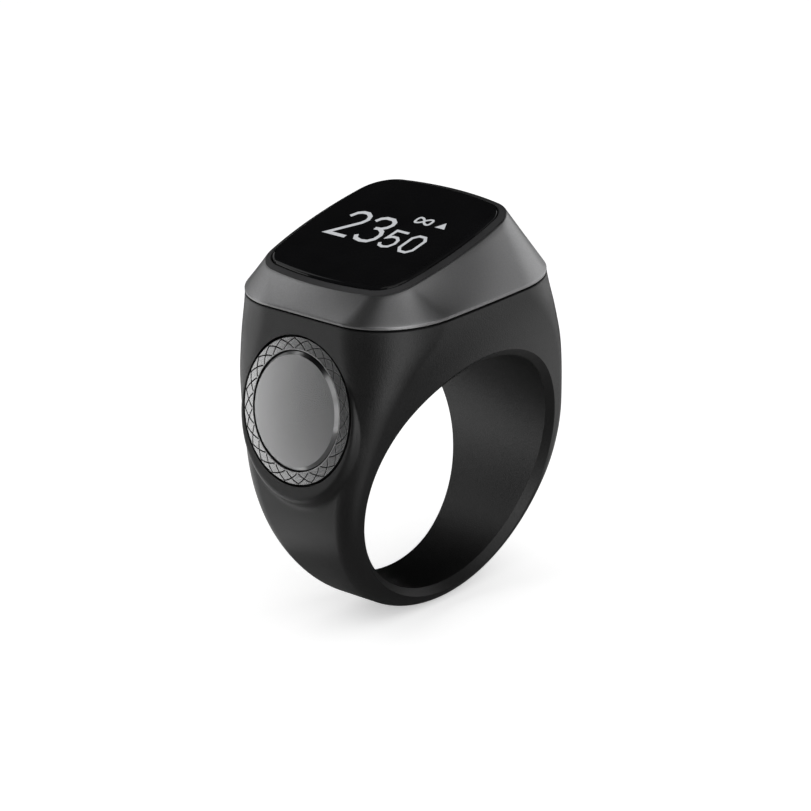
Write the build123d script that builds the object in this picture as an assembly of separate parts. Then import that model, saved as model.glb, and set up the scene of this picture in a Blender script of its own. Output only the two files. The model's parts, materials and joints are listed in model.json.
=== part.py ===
from build123d import *
import os
from math import acos, atan2, cos, degrees, exp, hypot, radians, sin

# A finger ring that counts: a lofted ring body carries a tilted display head and a round side button.
# Lengths are in millimetres and angles in degrees.
# The origin is the centre of the finger bore, Y runs along the finger, Z points up through the display
# and the button faces -X.
# The head is sized from the inside out: the display sets its outline, the battery and board its height.

# Finger bore and band
bore_radius = 10.0
bore_chamfer = 0.55
band_thickness = 1.65
band_bulge = 0.55

# Head at the seam between body and bezel
head_spread_x = 2.13
head_spread_y = 1.9
head_crown = 0.25
head_rounding = 6.0
head_wall = 1.5
floor_thickness = 1.2
seam_lift = 0.05

# Side outline: half-widths of the body just above the bore, on its axis and under the band
crown_rise = 0.2
crown_tuck = 0.6
axis_half_width = 6.0
foot_half_width = 2.8
foot_slope_share = 0.24

# Sections of the loft, fanned from the seam down past the lowest point of the band
section_angles = (0, 8, 18, 30, 44, 60, 75, 90, 105)
section_rim_shares = (0, 0.35, 0.7, 1)
pivot_offset = 1.0
pivot_sweep = 2.5
band_rounding = 1.3
rounding_fade_angle = 38

# Button face: a flat land on a low boss, standing off the flank and leaning back a little more
button_lean = 4.24
button_drop = 7.25
land_stand_off = 0.24
land_width = 0.2
land_edge_round = 0.15
boss_depth = 2.2
boss_foot_spread_y = 0.8
boss_foot_spread_z = 1.8
boss_foot_drop = 0.5

# Button: cap, plunger, seal and trim ring, with depths taken from the land
cap_radius = 4.64
cap_rise = 0.3
cap_depth = 0.25
cap_bevel_width = 0.22
cap_bevel_height = 0.28
button_gap = 0.08
trim_width = 1.08
trim_rise = 0.06
trim_depth = 0.6
trim_gap = 0.08
flange_lap = 0.63
flange_thickness = 0.4
flange_gap = 0.05
flange_side_gap = 0.1
pad_inset = 0.49
seal_gap = 0.04
stem_radius = 0.9
stem_length = 0.22
stem_gap = 0.03
press_travel = 0.3
travel_spare = 0.1

# Switch behind the button
housing_width = 3.0
housing_length = 2.4
housing_height = 0.75
actuator_radius = 0.7
actuator_gap = 0.06
actuator_seat = 0.25
switch_flex_thickness = 0.15
switch_flex_width = 2.8
switch_flex_bend = 0.4
switch_flex_tail = 2.2
switch_flex_gap = 0.05
slot_gap = 0.2
slot_margin = 0.25

# Bezel: a vertical lip, a sloping wall and a tilted rim that rises to the lens
gasket_thickness = 0.12
gasket_inset = 0.25
bezel_lip_height = 0.25
bezel_tilt = 12.5
bezel_top_x = -0.87
bezel_rim_x = 0.66
bezel_rim_y = 0.69
bezel_rim_drop = 0.24
bezel_rim_land = 0.08
bezel_top_crown = 0.88
bezel_corner_step = 0.7
skirt_depth = 0.9
skirt_wall = 0.75
skirt_gap = 0.08

# Cover lens and display, with depths taken from the bezel top
lens_border_x = 2.11
lens_border_y = 1.36
lens_crown = 0.75
lens_corner = 2.4
lens_rise = 0.22
lens_depth = 0.65
lens_edge_round = 0.33
lens_gap = 0.06
adhesive_thickness = 0.1
ledge_width = 0.6
ledge_thickness = 0.6
ledge_relief = 0.3
panel_half_x = 5.3
panel_half_y = 6.1
panel_thickness = 1.1
display_flex_width = 5.6
display_flex_thickness = 0.12
display_flex_bend = 0.22
display_flex_overhang = 0.75
display_flex_lap = 1.2
display_flex_lift = 0.09
display_flex_drop = 0.9

# Main board and the parts on it
board_gap_x = 1.1
board_gap_y = 1.05
board_corner_step = 0.5
board_thickness = 0.6
processor_size = 4.0
processor_height = 0.8
processor_gap = 0.6
power_chip_size = 2.2
power_chip_height = 0.6
power_chip_gap = 1.3
crystal_length = 2.0
crystal_width = 1.6
crystal_height = 0.5
crystal_gap = 0.8
antenna_length = 3.2
antenna_width = 1.6
antenna_height = 0.8
antenna_inset = 1.1
capacitor_length = 1.0
capacitor_width = 0.5
capacitor_height = 0.5
capacitor_count = 6
capacitor_pitch = 1.4
capacitor_gap = 0.6
connector_length = 6.4
connector_width = 2.0
connector_height = 0.8
connector_gap = 1.2

# Board posts and screws
post_inset_x = 1.6
post_inset_y = 2.3
post_radius = 1.1
screw_radius = 0.5
screw_length = 2.2
screw_gap = 0.03
screw_head_radius = 0.95
screw_head_height = 0.5

# Battery
battery_thickness = 2.5
battery_side_gap = 0.7
battery_contact_gap = 0.95
battery_end_gap = 2.05
battery_board_gap = 0.25
battery_edge_round = 0.6
battery_pad_thickness = 0.15
battery_pad_inset = 0.3
tab_width = 1.2
tab_thickness = 0.12
tab_spread = 4.0
tab_lap = 1.0

# Vibration motor
motor_radius = 2.5
motor_thickness = 1.8
motor_board_gap = 0.4
motor_gap = 0.1
motor_pad_thickness = 0.2
motor_pad_inset = 0.3

# Charging contacts and magnets in the roof of the bore
contact_spread = 2.6
contact_inset = 2.15
contact_radius = 0.75
contact_recess = 0.08
contact_head_depth = 0.7
contact_pin_radius = 0.45
contact_gap = 0.02
contact_seal_radius = 0.95
contact_seal_height = 0.5
magnet_pitch = 2.3
magnet_radius = 1.25
magnet_thickness = 0.8
magnet_gap = 0.05
magnet_sink = 0.05

# How far a cutting shape runs past the surface it cuts
overrun = 1.0

# Outlines, from the display outwards
lens_half_x = panel_half_x + lens_border_x
lens_half_y = panel_half_y + lens_border_y
bezel_top_half_x = lens_half_x + bezel_rim_x
bezel_top_half_y = lens_half_y + bezel_rim_y
bezel_top_corner = lens_corner + bezel_corner_step
head_half_x = bezel_top_half_x + head_spread_x
head_half_y = bezel_top_half_y + head_spread_y
cavity_half_x = head_half_x - head_wall
cavity_half_y = head_half_y - head_wall
board_half_x = cavity_half_x - board_gap_x
board_half_y = cavity_half_y - board_gap_y
board_corner = head_rounding - head_wall - board_corner_step

# Heights, from the bore upwards
floor_height = bore_radius + floor_thickness
battery_bottom = floor_height + battery_pad_thickness
board_height = battery_bottom + battery_thickness + battery_board_gap
board_top = board_height + board_thickness
seam_height = board_top + seam_lift
lip_bottom = seam_height + gasket_thickness
lip_top = lip_bottom + bezel_lip_height
skirt_bottom = seam_height - skirt_depth
contact_head_height = bore_radius + contact_head_depth
magnet_seat_height = floor_height - magnet_sink - magnet_thickness
motor_height = board_height - motor_radius - motor_board_gap

# Depths of the display below the bezel top, and the height that leaves room for its folded flex
lens_seat_depth = lens_depth + adhesive_thickness
ledge_bottom_depth = lens_seat_depth + ledge_thickness
panel_bottom_depth = lens_depth + panel_thickness
display_flex_depth = panel_bottom_depth + display_flex_thickness / 2
display_flex_height = board_top + display_flex_lift + display_flex_thickness / 2
bezel_top_height = (
    display_flex_height
    + display_flex_drop
    + (panel_half_x + display_flex_overhang) * sin(radians(bezel_tilt))
    + display_flex_depth * cos(radians(bezel_tilt))
)

# Places on the board, from the antenna towards the button
antenna_x = board_half_x - antenna_inset - antenna_width / 2
capacitor_x = antenna_x - antenna_width / 2 - capacitor_gap - capacitor_width / 2
processor_x = capacitor_x - capacitor_width / 2 - processor_gap - processor_size / 2
connector_x = processor_x - processor_size / 2 - connector_gap - connector_width / 2
power_chip_y = processor_size / 2 + power_chip_gap + power_chip_size / 2
crystal_y = -processor_size / 2 - crystal_gap - crystal_width / 2
post_x = board_half_x - post_inset_x
post_y = board_half_y - post_inset_y

# Places around the battery
contact_x = contact_spread / 2
contact_y = contact_inset - cavity_half_y
magnet_x = contact_x + magnet_pitch
battery_start_y = contact_y + contact_seal_radius + battery_contact_gap
battery_end_y = cavity_half_y - battery_end_gap
battery_length = battery_end_y - battery_start_y
battery_width = 2 * (post_x - post_radius - battery_side_gap)
battery_y = (battery_start_y + battery_end_y) / 2
motor_outer_x = cavity_half_x - motor_pad_thickness
motor_inner_x = motor_outer_x - motor_thickness

# Radii and depths of the button, from the cap outwards and from the land inwards
trim_inner_radius = cap_radius + button_gap
trim_radius = trim_inner_radius + trim_width
land_radius = trim_radius + trim_gap + land_width
flange_radius = trim_inner_radius + flange_lap
pad_radius = cap_radius - pad_inset
pocket_radius = flange_radius + flange_side_gap
flange_top_depth = trim_depth + flange_gap
flange_bottom_depth = flange_top_depth + flange_thickness
pocket_depth = flange_bottom_depth + press_travel + travel_spare
stem_end_depth = flange_bottom_depth + stem_length
housing_top_depth = stem_end_depth + press_travel + stem_gap
housing_bottom_depth = housing_top_depth + housing_height
slot_depth = housing_bottom_depth + switch_flex_thickness
button_wall_depth = housing_bottom_depth - switch_flex_gap
actuator_top_depth = stem_end_depth + stem_gap
actuator_bottom_depth = housing_top_depth + actuator_seat

# Where the straight flank meets the band's arc, and the button's centre on that flank
band_arc_radius = bore_radius + band_thickness + band_bulge
band_arc_height = band_bulge
flank_rise = seam_height - band_arc_height
touch_angle = degrees(
    atan2(flank_rise, -head_half_x) + acos(band_arc_radius / hypot(head_half_x, flank_rise))
)
button_tilt = 180 - touch_angle + button_lean
button_height = seam_height - button_drop
flank_reach = band_arc_radius - (button_height - band_arc_height) * sin(radians(touch_angle))
button_x = flank_reach / cos(radians(touch_angle)) - land_stand_off

button_plane = Plane(
    origin=(button_x, 0, button_height),
    x_dir=(0, -1, 0),
    z_dir=(-cos(radians(button_tilt)), 0, sin(radians(button_tilt))),
)
display_plane = Plane(
    origin=(bezel_top_x, 0, bezel_top_height),
    x_dir=(cos(radians(bezel_tilt)), 0, sin(radians(bezel_tilt))),
    z_dir=(-sin(radians(bezel_tilt)), 0, cos(radians(bezel_tilt))),
)


def disc(radius, top, bottom):
    """A round slice between two heights."""
    return Pos(0, 0, bottom) * Cylinder(radius, top - bottom, align=(Align.CENTER, Align.CENTER, Align.MIN))


def tube(outer, inner, top, bottom):
    """A round sleeve between two heights."""
    return disc(outer, top, bottom) - disc(inner, top + overrun, bottom - overrun)


def slab(length_x, length_y, top, bottom):
    """A rectangular slice between two heights."""
    return Pos(0, 0, bottom) * Box(
        length_x, length_y, top - bottom, align=(Align.CENTER, Align.CENTER, Align.MIN)
    )


def plan(half_x, half_y, crown, corner, crown_x=0.0):
    """A rounded rectangle with bowed long edges, and bowed ends where crown_x is given."""
    end_y = half_y - crown
    end_x = half_x - crown_x
    edges = []
    for side in (1, -1):
        edges.append(ThreePointArc((-end_x, side * end_y), (0, side * half_y), (end_x, side * end_y)))
        if crown_x:
            edges.append(ThreePointArc((side * end_x, -end_y), (side * half_x, 0), (side * end_x, end_y)))
        else:
            edges.append(Line((side * end_x, -end_y), (side * end_x, end_y)))
    face = make_face(edges)
    return fillet(face.vertices(), corner)


def head_plan(inset):
    """The head's outline at the seam, moved inwards by an even margin."""
    return plan(head_half_x - inset, head_half_y - inset, head_crown, head_rounding - inset)


def lens_plan(margin):
    """The lens outline, moved outwards by an even margin."""
    return plan(lens_half_x + margin, lens_half_y + margin, lens_crown, lens_corner + margin, lens_crown)


def at_height(height):
    return Plane.XY.offset(height)


def side_outline():
    """Half-width of the body against height, as seen along X."""
    return Spline(
        (head_half_y, seam_height),
        (head_half_y - crown_tuck, bore_radius + crown_rise),
        (axis_half_width, 0),
        (foot_half_width, -band_arc_radius),
        tangents=[(0, -1), (-foot_slope_share, -1)],
    )


def front_outline():
    """Outer line of the body as seen along Y: a straight flank that runs into the band's arc."""
    band = CenterArc((0, band_arc_height), band_arc_radius, touch_angle, 360 - touch_angle)
    flank = Line((-head_half_x, seam_height), band @ 0)
    return flank, band


def body_section(angle, flank, band, side):
    """One section of the body, in a plane along Y that leans down by the given angle."""
    turn = angle / 90
    fade = exp(-((angle / rounding_fade_angle) ** 2))
    pivot = Vector(pivot_offset + pivot_sweep * turn**2, seam_height * max(1 - turn, 0))
    ray = Vector(-cos(radians(angle)), -sin(radians(angle)))
    hits = flank.find_intersection_points(Axis(pivot, ray)) + band.find_intersection_points(Axis(pivot, ray))
    reach = max((hit - pivot).dot(ray) for hit in hits)
    rim = []
    for share in section_rim_shares:
        spot = pivot + ray * (reach * share)
        level = Axis((0, spot.Y, 0), (1, 0, 0))
        width = side.find_intersection_points(level)[0].X
        rim.append((reach * share, width - head_crown * fade * (spot.X / head_half_x) ** 2))
    far_rim = [(along, -width) for along, width in rim]
    face = make_face([Spline(*rim), Line(rim[-1], far_rim[-1]), Spline(*far_rim), Line(far_rim[0], rim[0])])
    rounding = band_rounding + (head_rounding - band_rounding) * fade
    rounded = fillet(face.vertices().sort_by(Axis.X)[-2:], rounding)
    section_plane = Plane(
        origin=(pivot.X, 0, pivot.Y), x_dir=(ray.X, 0, ray.Y), z_dir=(-ray.Y, 0, ray.X)
    )
    return section_plane * rounded


def body_blank():
    """The sculpted ring: one half is lofted, bored and chamfered, then mirrored."""
    flank, band = front_outline()
    side = side_outline()
    half = loft([body_section(angle, flank, band, side) for angle in section_angles])
    half = split(half, bisect_by=Plane.YZ, keep=Keep.BOTTOM)
    half -= Rot(90, 0, 0) * Cylinder(bore_radius, 2 * (head_half_y + overrun))
    bore_face = half.faces().filter_by(GeomType.CYLINDER).sort_by(SortBy.AREA)[-1]
    rim_edges = bore_face.edges().filter_by(GeomType.LINE, reverse=True)
    half = chamfer(rim_edges, bore_chamfer)
    return half + mirror(half, about=Plane.YZ)


def button_boss():
    """The low boss whose flat face is the land around the button, fairing out below it."""
    foot = Pos(0, -boss_foot_drop, -boss_depth) * Ellipse(
        land_radius + boss_foot_spread_y, land_radius + boss_foot_spread_z
    )
    boss = loft([foot, Circle(land_radius).face()])
    boss = fillet(boss.faces().sort_by(Axis.Z)[-1].edges(), land_edge_round)
    return button_plane * boss


def button_hollows():
    """Recess for the trim ring, pocket for the plunger, and slot for the switch and its flex."""
    recess = disc(trim_radius + trim_gap, overrun, -trim_depth)
    pocket = disc(pocket_radius, 0, -pocket_depth)
    slot_start = -housing_length / 2 - slot_gap
    slot_end = pocket_radius - slot_margin
    slot = Pos(0, (slot_start + slot_end) / 2, 0) * slab(
        housing_width + 2 * slot_gap, slot_end - slot_start, 0, -slot_depth
    )
    return button_plane * (recess + pocket + slot)


def head_cavity():
    """Hollow of the head above a flat floor, kept clear of the wall behind the button."""
    hollow = extrude(at_height(floor_height) * head_plan(head_wall), seam_height + overrun - floor_height)
    wall = button_plane * slab(2 * head_half_x, 2 * head_half_y, 0, -button_wall_depth)
    wall = split(wall, bisect_by=at_height(skirt_bottom - skirt_gap), keep=Keep.BOTTOM)
    motor_room = motor_outer_x + motor_pad_thickness - motor_inner_x + motor_gap
    motor_seat = Pos(cavity_half_x - motor_room / 2, 0, motor_height) * Rot(0, 90, 0) * Cylinder(
        motor_radius + motor_gap, motor_room
    )
    return hollow - wall + motor_seat


def contact_spots():
    return [Pos(side * contact_x, contact_y, 0) for side in (1, -1)]


def magnet_spots():
    return [Pos(side * magnet_x, contact_y, 0) for side in (1, -1)]


def post_spots():
    return [Pos(x, y, 0) for x in (-post_x, post_x) for y in (-post_y, post_y)]


def ring_body():
    blank = body_blank()
    boss = button_boss()
    body = blank + boss
    body -= button_plane * disc(land_radius, overrun, 0)
    body -= head_cavity()
    body -= button_hollows()
    for spot in post_spots():
        body += spot * tube(post_radius, screw_radius + screw_gap, board_height, floor_height)
    for spot in contact_spots():
        body -= spot * disc(contact_radius + contact_gap, contact_head_height, 0)
        body -= spot * disc(contact_pin_radius + contact_gap, floor_height + overrun, 0)
    for spot in magnet_spots():
        body -= spot * disc(magnet_radius + magnet_gap, floor_height + overrun, magnet_seat_height)
    return body


def bezel():
    outline = head_plan(0)
    crest = display_plane.offset(-bezel_rim_drop) * plan(
        bezel_top_half_x, bezel_top_half_y, bezel_top_crown, bezel_top_corner, bezel_top_crown
    )
    shell = extrude(at_height(lip_bottom) * outline, bezel_lip_height)
    shell += loft([at_height(lip_top) * outline, crest])
    shell += loft([crest, display_plane * lens_plan(lens_gap + bezel_rim_land)])
    skirt_outline = head_plan(head_wall + skirt_gap)
    shell += extrude(at_height(skirt_bottom) * skirt_outline, lip_top - skirt_bottom)
    inner_outline = head_plan(head_wall + skirt_gap + skirt_wall)
    shell -= extrude(at_height(skirt_bottom - overrun) * inner_outline, lip_top - skirt_bottom + overrun)
    ledge_opening = lens_plan(-ledge_width)
    relief = lens_plan(ledge_relief - ledge_width)
    ledge_bottom = display_plane.offset(-ledge_bottom_depth)
    lens_seat = display_plane.offset(-lens_seat_depth)
    shell -= loft([at_height(lip_top) * inner_outline, ledge_bottom * relief])
    shell -= extrude(ledge_bottom * ledge_opening, ledge_bottom_depth)
    shell -= extrude(lens_seat * lens_plan(lens_gap), lens_seat_depth + overrun)
    return shell


def bezel_gasket():
    ring = head_plan(gasket_inset) - head_plan(head_wall)
    return extrude(at_height(seam_height) * ring, gasket_thickness)


def cover_lens():
    lens = extrude(Pos(0, 0, -lens_depth) * lens_plan(0), lens_depth + lens_rise)
    lens = fillet(lens.faces().sort_by(Axis.Z)[-1].edges(), lens_edge_round)
    return display_plane * lens


def lens_adhesive():
    ring = lens_plan(0) - lens_plan(-ledge_width)
    return display_plane * extrude(Pos(0, 0, -lens_seat_depth) * ring, adhesive_thickness)


def display_panel():
    return display_plane * slab(2 * panel_half_x, 2 * panel_half_y, -lens_depth, -panel_bottom_depth)


def display_flex():
    """Ribbon folded from under the panel's lower edge back to the connector on the board."""
    lap = display_plane.from_local_coords((display_flex_lap - panel_half_x, 0, -display_flex_depth))
    turn = display_plane.from_local_coords((-display_flex_overhang - panel_half_x, 0, -display_flex_depth))
    path = FilletPolyline(
        (lap.X, lap.Z),
        (turn.X, turn.Z),
        (turn.X, display_flex_height),
        (connector_x - connector_width / 2, display_flex_height),
        radius=display_flex_bend,
    )
    ribbon = trace(path, display_flex_thickness)
    return extrude(Plane.XZ * ribbon, display_flex_width / 2, both=True)


def main_board():
    board = extrude(
        at_height(board_height) * plan(board_half_x, board_half_y, head_crown, board_corner), board_thickness
    )
    for spot in post_spots():
        board -= spot * disc(screw_radius + screw_gap, board_top + overrun, board_height - overrun)
    return board


def on_board(x, y, length_x, length_y, height):
    return Pos(x, y, 0) * slab(length_x, length_y, board_top + height, board_top)


def flex_connector():
    return on_board(connector_x, 0, connector_width, connector_length, connector_height)


def processor_chip():
    return on_board(processor_x, 0, processor_size, processor_size, processor_height)


def power_chip():
    return on_board(processor_x, power_chip_y, power_chip_size, power_chip_size, power_chip_height)


def clock_crystal():
    return on_board(processor_x, crystal_y, crystal_length, crystal_width, crystal_height)


def chip_antenna():
    return on_board(antenna_x, 0, antenna_width, antenna_length, antenna_height)


def board_capacitors():
    row = Part()
    for number in range(capacitor_count):
        y = (number - (capacitor_count - 1) / 2) * capacitor_pitch
        row += on_board(capacitor_x, y, capacitor_width, capacitor_length, capacitor_height)
    return row


def board_screws():
    screws = Part()
    for spot in post_spots():
        shank = disc(screw_radius, board_top, board_top - screw_length)
        screws += spot * (shank + disc(screw_head_radius, board_top + screw_head_height, board_top))
    return screws


def battery():
    cell = slab(battery_width, battery_length, battery_bottom + battery_thickness, battery_bottom)
    cell = fillet(cell.edges().filter_by(Axis.Z), battery_edge_round)
    return Pos(0, battery_y, 0) * cell


def battery_pad():
    width = battery_width - 2 * battery_pad_inset
    length = battery_length - 2 * battery_pad_inset
    return Pos(0, battery_y, 0) * slab(width, length, battery_bottom, floor_height)


def battery_tabs():
    tabs = Part()
    end_y = battery_y + battery_length / 2 + tab_thickness / 2
    foot = battery_bottom + battery_thickness - tab_lap
    for side in (1, -1):
        tabs += Pos(side * tab_spread / 2, end_y, 0) * slab(tab_width, tab_thickness, board_height, foot)
    return tabs


def across_x(radius, inner_x, outer_x):
    """A disc standing on edge, with its axis along X."""
    return Pos((inner_x + outer_x) / 2, 0, motor_height) * Rot(0, 90, 0) * Cylinder(radius, outer_x - inner_x)


def vibration_motor():
    return across_x(motor_radius, motor_inner_x, motor_outer_x)


def motor_pad():
    return across_x(motor_radius - motor_pad_inset, motor_outer_x, motor_outer_x + motor_pad_thickness)


def charging_contacts():
    finger_room = Rot(90, 0, 0) * Cylinder(bore_radius + contact_recess, 2 * head_half_y)
    pins = Part()
    for spot in contact_spots():
        pin = disc(contact_radius, contact_head_height, 0)
        pin += disc(contact_pin_radius, board_height, contact_head_height)
        pins += spot * pin - finger_room
    return pins


def contact_seals():
    seals = Part()
    for spot in contact_spots():
        top = floor_height + contact_seal_height
        seals += spot * tube(contact_seal_radius, contact_pin_radius, top, floor_height)
    return seals


def charging_magnets():
    magnets = Part()
    for spot in magnet_spots():
        magnets += spot * disc(magnet_radius, magnet_seat_height + magnet_thickness, magnet_seat_height)
    return magnets


def button_cap():
    straight_top = cap_rise - cap_bevel_height
    bevel = Pos(0, 0, straight_top) * Cone(
        cap_radius,
        cap_radius - cap_bevel_width,
        cap_bevel_height,
        align=(Align.CENTER, Align.CENTER, Align.MIN),
    )
    return button_plane * (disc(cap_radius, straight_top, -cap_depth) + bevel)


def button_plunger():
    flange = disc(flange_radius, -flange_top_depth, -flange_bottom_depth)
    pad = disc(pad_radius, -cap_depth, -flange_top_depth)
    stem = disc(stem_radius, -flange_bottom_depth, -stem_end_depth)
    return button_plane * (flange + pad + stem)


def button_seal():
    return button_plane * tube(trim_inner_radius - seal_gap, pad_radius, -cap_depth, -flange_top_depth)


def button_trim():
    return button_plane * tube(trim_radius, trim_inner_radius, trim_rise, -trim_depth)


def switch_housing():
    block = slab(housing_width, housing_length, -housing_top_depth, -housing_bottom_depth)
    hole_bottom = -actuator_bottom_depth - press_travel - stem_gap
    block -= disc(actuator_radius + actuator_gap, 0, hole_bottom)
    return button_plane * block


def switch_actuator():
    return button_plane * disc(actuator_radius, -actuator_top_depth, -actuator_bottom_depth)


def switch_flex():
    """Strip under the switch that climbs the button wall and folds under the board."""
    middle_depth = housing_bottom_depth + switch_flex_thickness / 2
    tail_height = board_height - switch_flex_thickness / 2
    start = button_plane.from_local_coords((0, -housing_length / 2, -middle_depth))
    climb = button_plane.y_dir
    rise = (tail_height - start.Z) / climb.Z
    fold = start + climb * rise
    path = FilletPolyline(
        (start.X, start.Z),
        (fold.X, fold.Z),
        (fold.X + switch_flex_tail, fold.Z),
        radius=switch_flex_bend,
    )
    strip = trace(path, switch_flex_thickness)
    return extrude(Plane.XZ * strip, switch_flex_width / 2, both=True)


PIECES = (
    ring_body,
    bezel,
    bezel_gasket,
    cover_lens,
    lens_adhesive,
    display_panel,
    display_flex,
    flex_connector,
    main_board,
    processor_chip,
    power_chip,
    clock_crystal,
    chip_antenna,
    board_capacitors,
    board_screws,
    battery,
    battery_pad,
    battery_tabs,
    vibration_motor,
    motor_pad,
    charging_contacts,
    contact_seals,
    charging_magnets,
    button_cap,
    button_plunger,
    button_seal,
    button_trim,
    switch_housing,
    switch_actuator,
    switch_flex,
)

os.makedirs("parts", exist_ok=True)
for piece in PIECES:
    export_step(piece(), "parts/" + piece.__name__ + ".step")
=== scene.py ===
"""A counting finger ring: sculpted matt body, tilted display head and patterned side button.

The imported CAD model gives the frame. The outer pieces are rebuilt here with finer shapes, and every
piece gets a procedural finish. Sizes are in millimetres and become metres when a mesh is made.
"""

import json
import logging
from dataclasses import dataclass
from enum import Enum, IntEnum
from math import copysign, cos, pi, radians, sin

import bmesh
import bpy
import numpy as np
from mathutils import Matrix, Vector

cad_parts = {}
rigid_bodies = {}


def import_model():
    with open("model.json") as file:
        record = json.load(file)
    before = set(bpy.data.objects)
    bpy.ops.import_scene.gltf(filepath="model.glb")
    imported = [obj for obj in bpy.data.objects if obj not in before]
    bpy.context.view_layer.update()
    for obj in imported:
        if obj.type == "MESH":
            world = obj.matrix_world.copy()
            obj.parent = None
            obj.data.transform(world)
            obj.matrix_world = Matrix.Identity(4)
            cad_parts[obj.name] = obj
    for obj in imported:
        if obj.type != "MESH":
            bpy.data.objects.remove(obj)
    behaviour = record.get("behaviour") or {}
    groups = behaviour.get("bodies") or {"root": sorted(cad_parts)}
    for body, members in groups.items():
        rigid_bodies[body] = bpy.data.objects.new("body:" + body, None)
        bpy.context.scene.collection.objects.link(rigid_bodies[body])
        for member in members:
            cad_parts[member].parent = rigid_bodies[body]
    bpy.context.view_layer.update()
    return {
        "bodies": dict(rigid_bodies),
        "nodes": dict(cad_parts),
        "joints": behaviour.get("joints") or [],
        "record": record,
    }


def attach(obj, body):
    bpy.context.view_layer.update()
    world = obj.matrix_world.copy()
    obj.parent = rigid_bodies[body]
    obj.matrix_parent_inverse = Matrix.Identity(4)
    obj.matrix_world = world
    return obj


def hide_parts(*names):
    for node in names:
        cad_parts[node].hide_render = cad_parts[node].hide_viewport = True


LOG = logging.getLogger("counting_ring")
MM = 0.001
TINY = 1e-6
# Mesh attribute that marks the inked cut lines and the painted gap shade on the trim's edges.
INK_AND_SHADE_MARKS = "ink_and_shade"
Colour = tuple[float, float, float]
Point = tuple[float, float, float]


class Body(Enum):
    """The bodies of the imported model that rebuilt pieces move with."""

    RING = "ring"
    BUTTON = "button"


class Carving(Enum):
    """The ways in which one solid changes another."""

    CUT = "DIFFERENCE"
    JOIN = "UNION"


class BezelZone(IntEnum):
    """The parts of the bezel that have a finish of their own."""

    WALL = 0
    RIM = 1
    LIP = 2


class CapZone(IntEnum):
    """The parts of the cap that have a finish of their own."""

    FACE = 0
    BEVEL = 1


@dataclass(frozen=True)
class LocalFrame:
    """A flat place on the ring, with two directions in it and one out of it."""

    origin: Point
    along: Point
    across: Point
    out: Point

    def axes(self) -> np.ndarray:
        """Gives the three directions as rows."""
        return np.array((self.along, self.across, self.out))

    def place(self, points: np.ndarray) -> np.ndarray:
        """Moves local points to the ring's frame."""
        return np.asarray(points) @ self.axes() + np.array(self.origin)

    def local(self, points: np.ndarray) -> np.ndarray:
        """Gives the local coordinates of points in the ring's frame."""
        return (np.asarray(points) - np.array(self.origin)) @ self.axes().T

    def matrix(self) -> Matrix:
        """Gives the placing as a matrix in metres."""
        turn = Matrix([list(row) for row in self.axes().T])
        return Matrix.Translation(Vector(self.origin) * MM) @ turn.to_4x4()


def button_frame(x: float = -11.5313, height: float = 7.5, tilt: float = 12.8) -> LocalFrame:
    """Gives the land that the button sits on.

    Args:
        x: Place of the land's centre along X.
        height: Height of the land's centre.
        tilt: Lean of the land in degrees, tipping it upwards.

    Returns:
        The frame, with along to the viewer's right and across up the flank.
    """
    lean = radians(tilt)
    return LocalFrame(
        (x, 0.0, height), (0.0, -1.0, 0.0), (sin(lean), 0.0, cos(lean)), (-cos(lean), 0.0, sin(lean))
    )


def display_frame(x: float = -0.87, height: float = 18.8266, tilt: float = 12.5) -> LocalFrame:
    """Gives the tilted top of the bezel.

    Args:
        x: Place of the top's centre along X.
        height: Height of the top's centre.
        tilt: Lean of the top in degrees, towards the button.

    Returns:
        The frame, with along up the display and across towards +Y.
    """
    lean = radians(tilt)
    return LocalFrame(
        (x, 0.0, height), (cos(lean), 0.0, sin(lean)), (0.0, 1.0, 0.0), (-sin(lean), 0.0, cos(lean))
    )


def smooth_step(share: np.ndarray) -> np.ndarray:
    """Eases from 0 to 1 as the share goes from 0 to 1."""
    held = np.clip(share, 0.0, 1.0)
    return held * held * (3.0 - 2.0 * held)


def weld_mesh(mesh: bpy.types.Mesh, distance: float) -> None:
    """Merges coinciding points of a mesh and turns its faces outwards.

    Args:
        mesh: The mesh that is changed.
        distance: Distance in millimetres under which points merge.
    """
    shape = bmesh.new()
    shape.from_mesh(mesh)
    bmesh.ops.remove_doubles(shape, verts=shape.verts, dist=distance * MM)
    bmesh.ops.recalc_face_normals(shape, faces=shape.faces)
    shape.to_mesh(mesh)
    shape.free()


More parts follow.
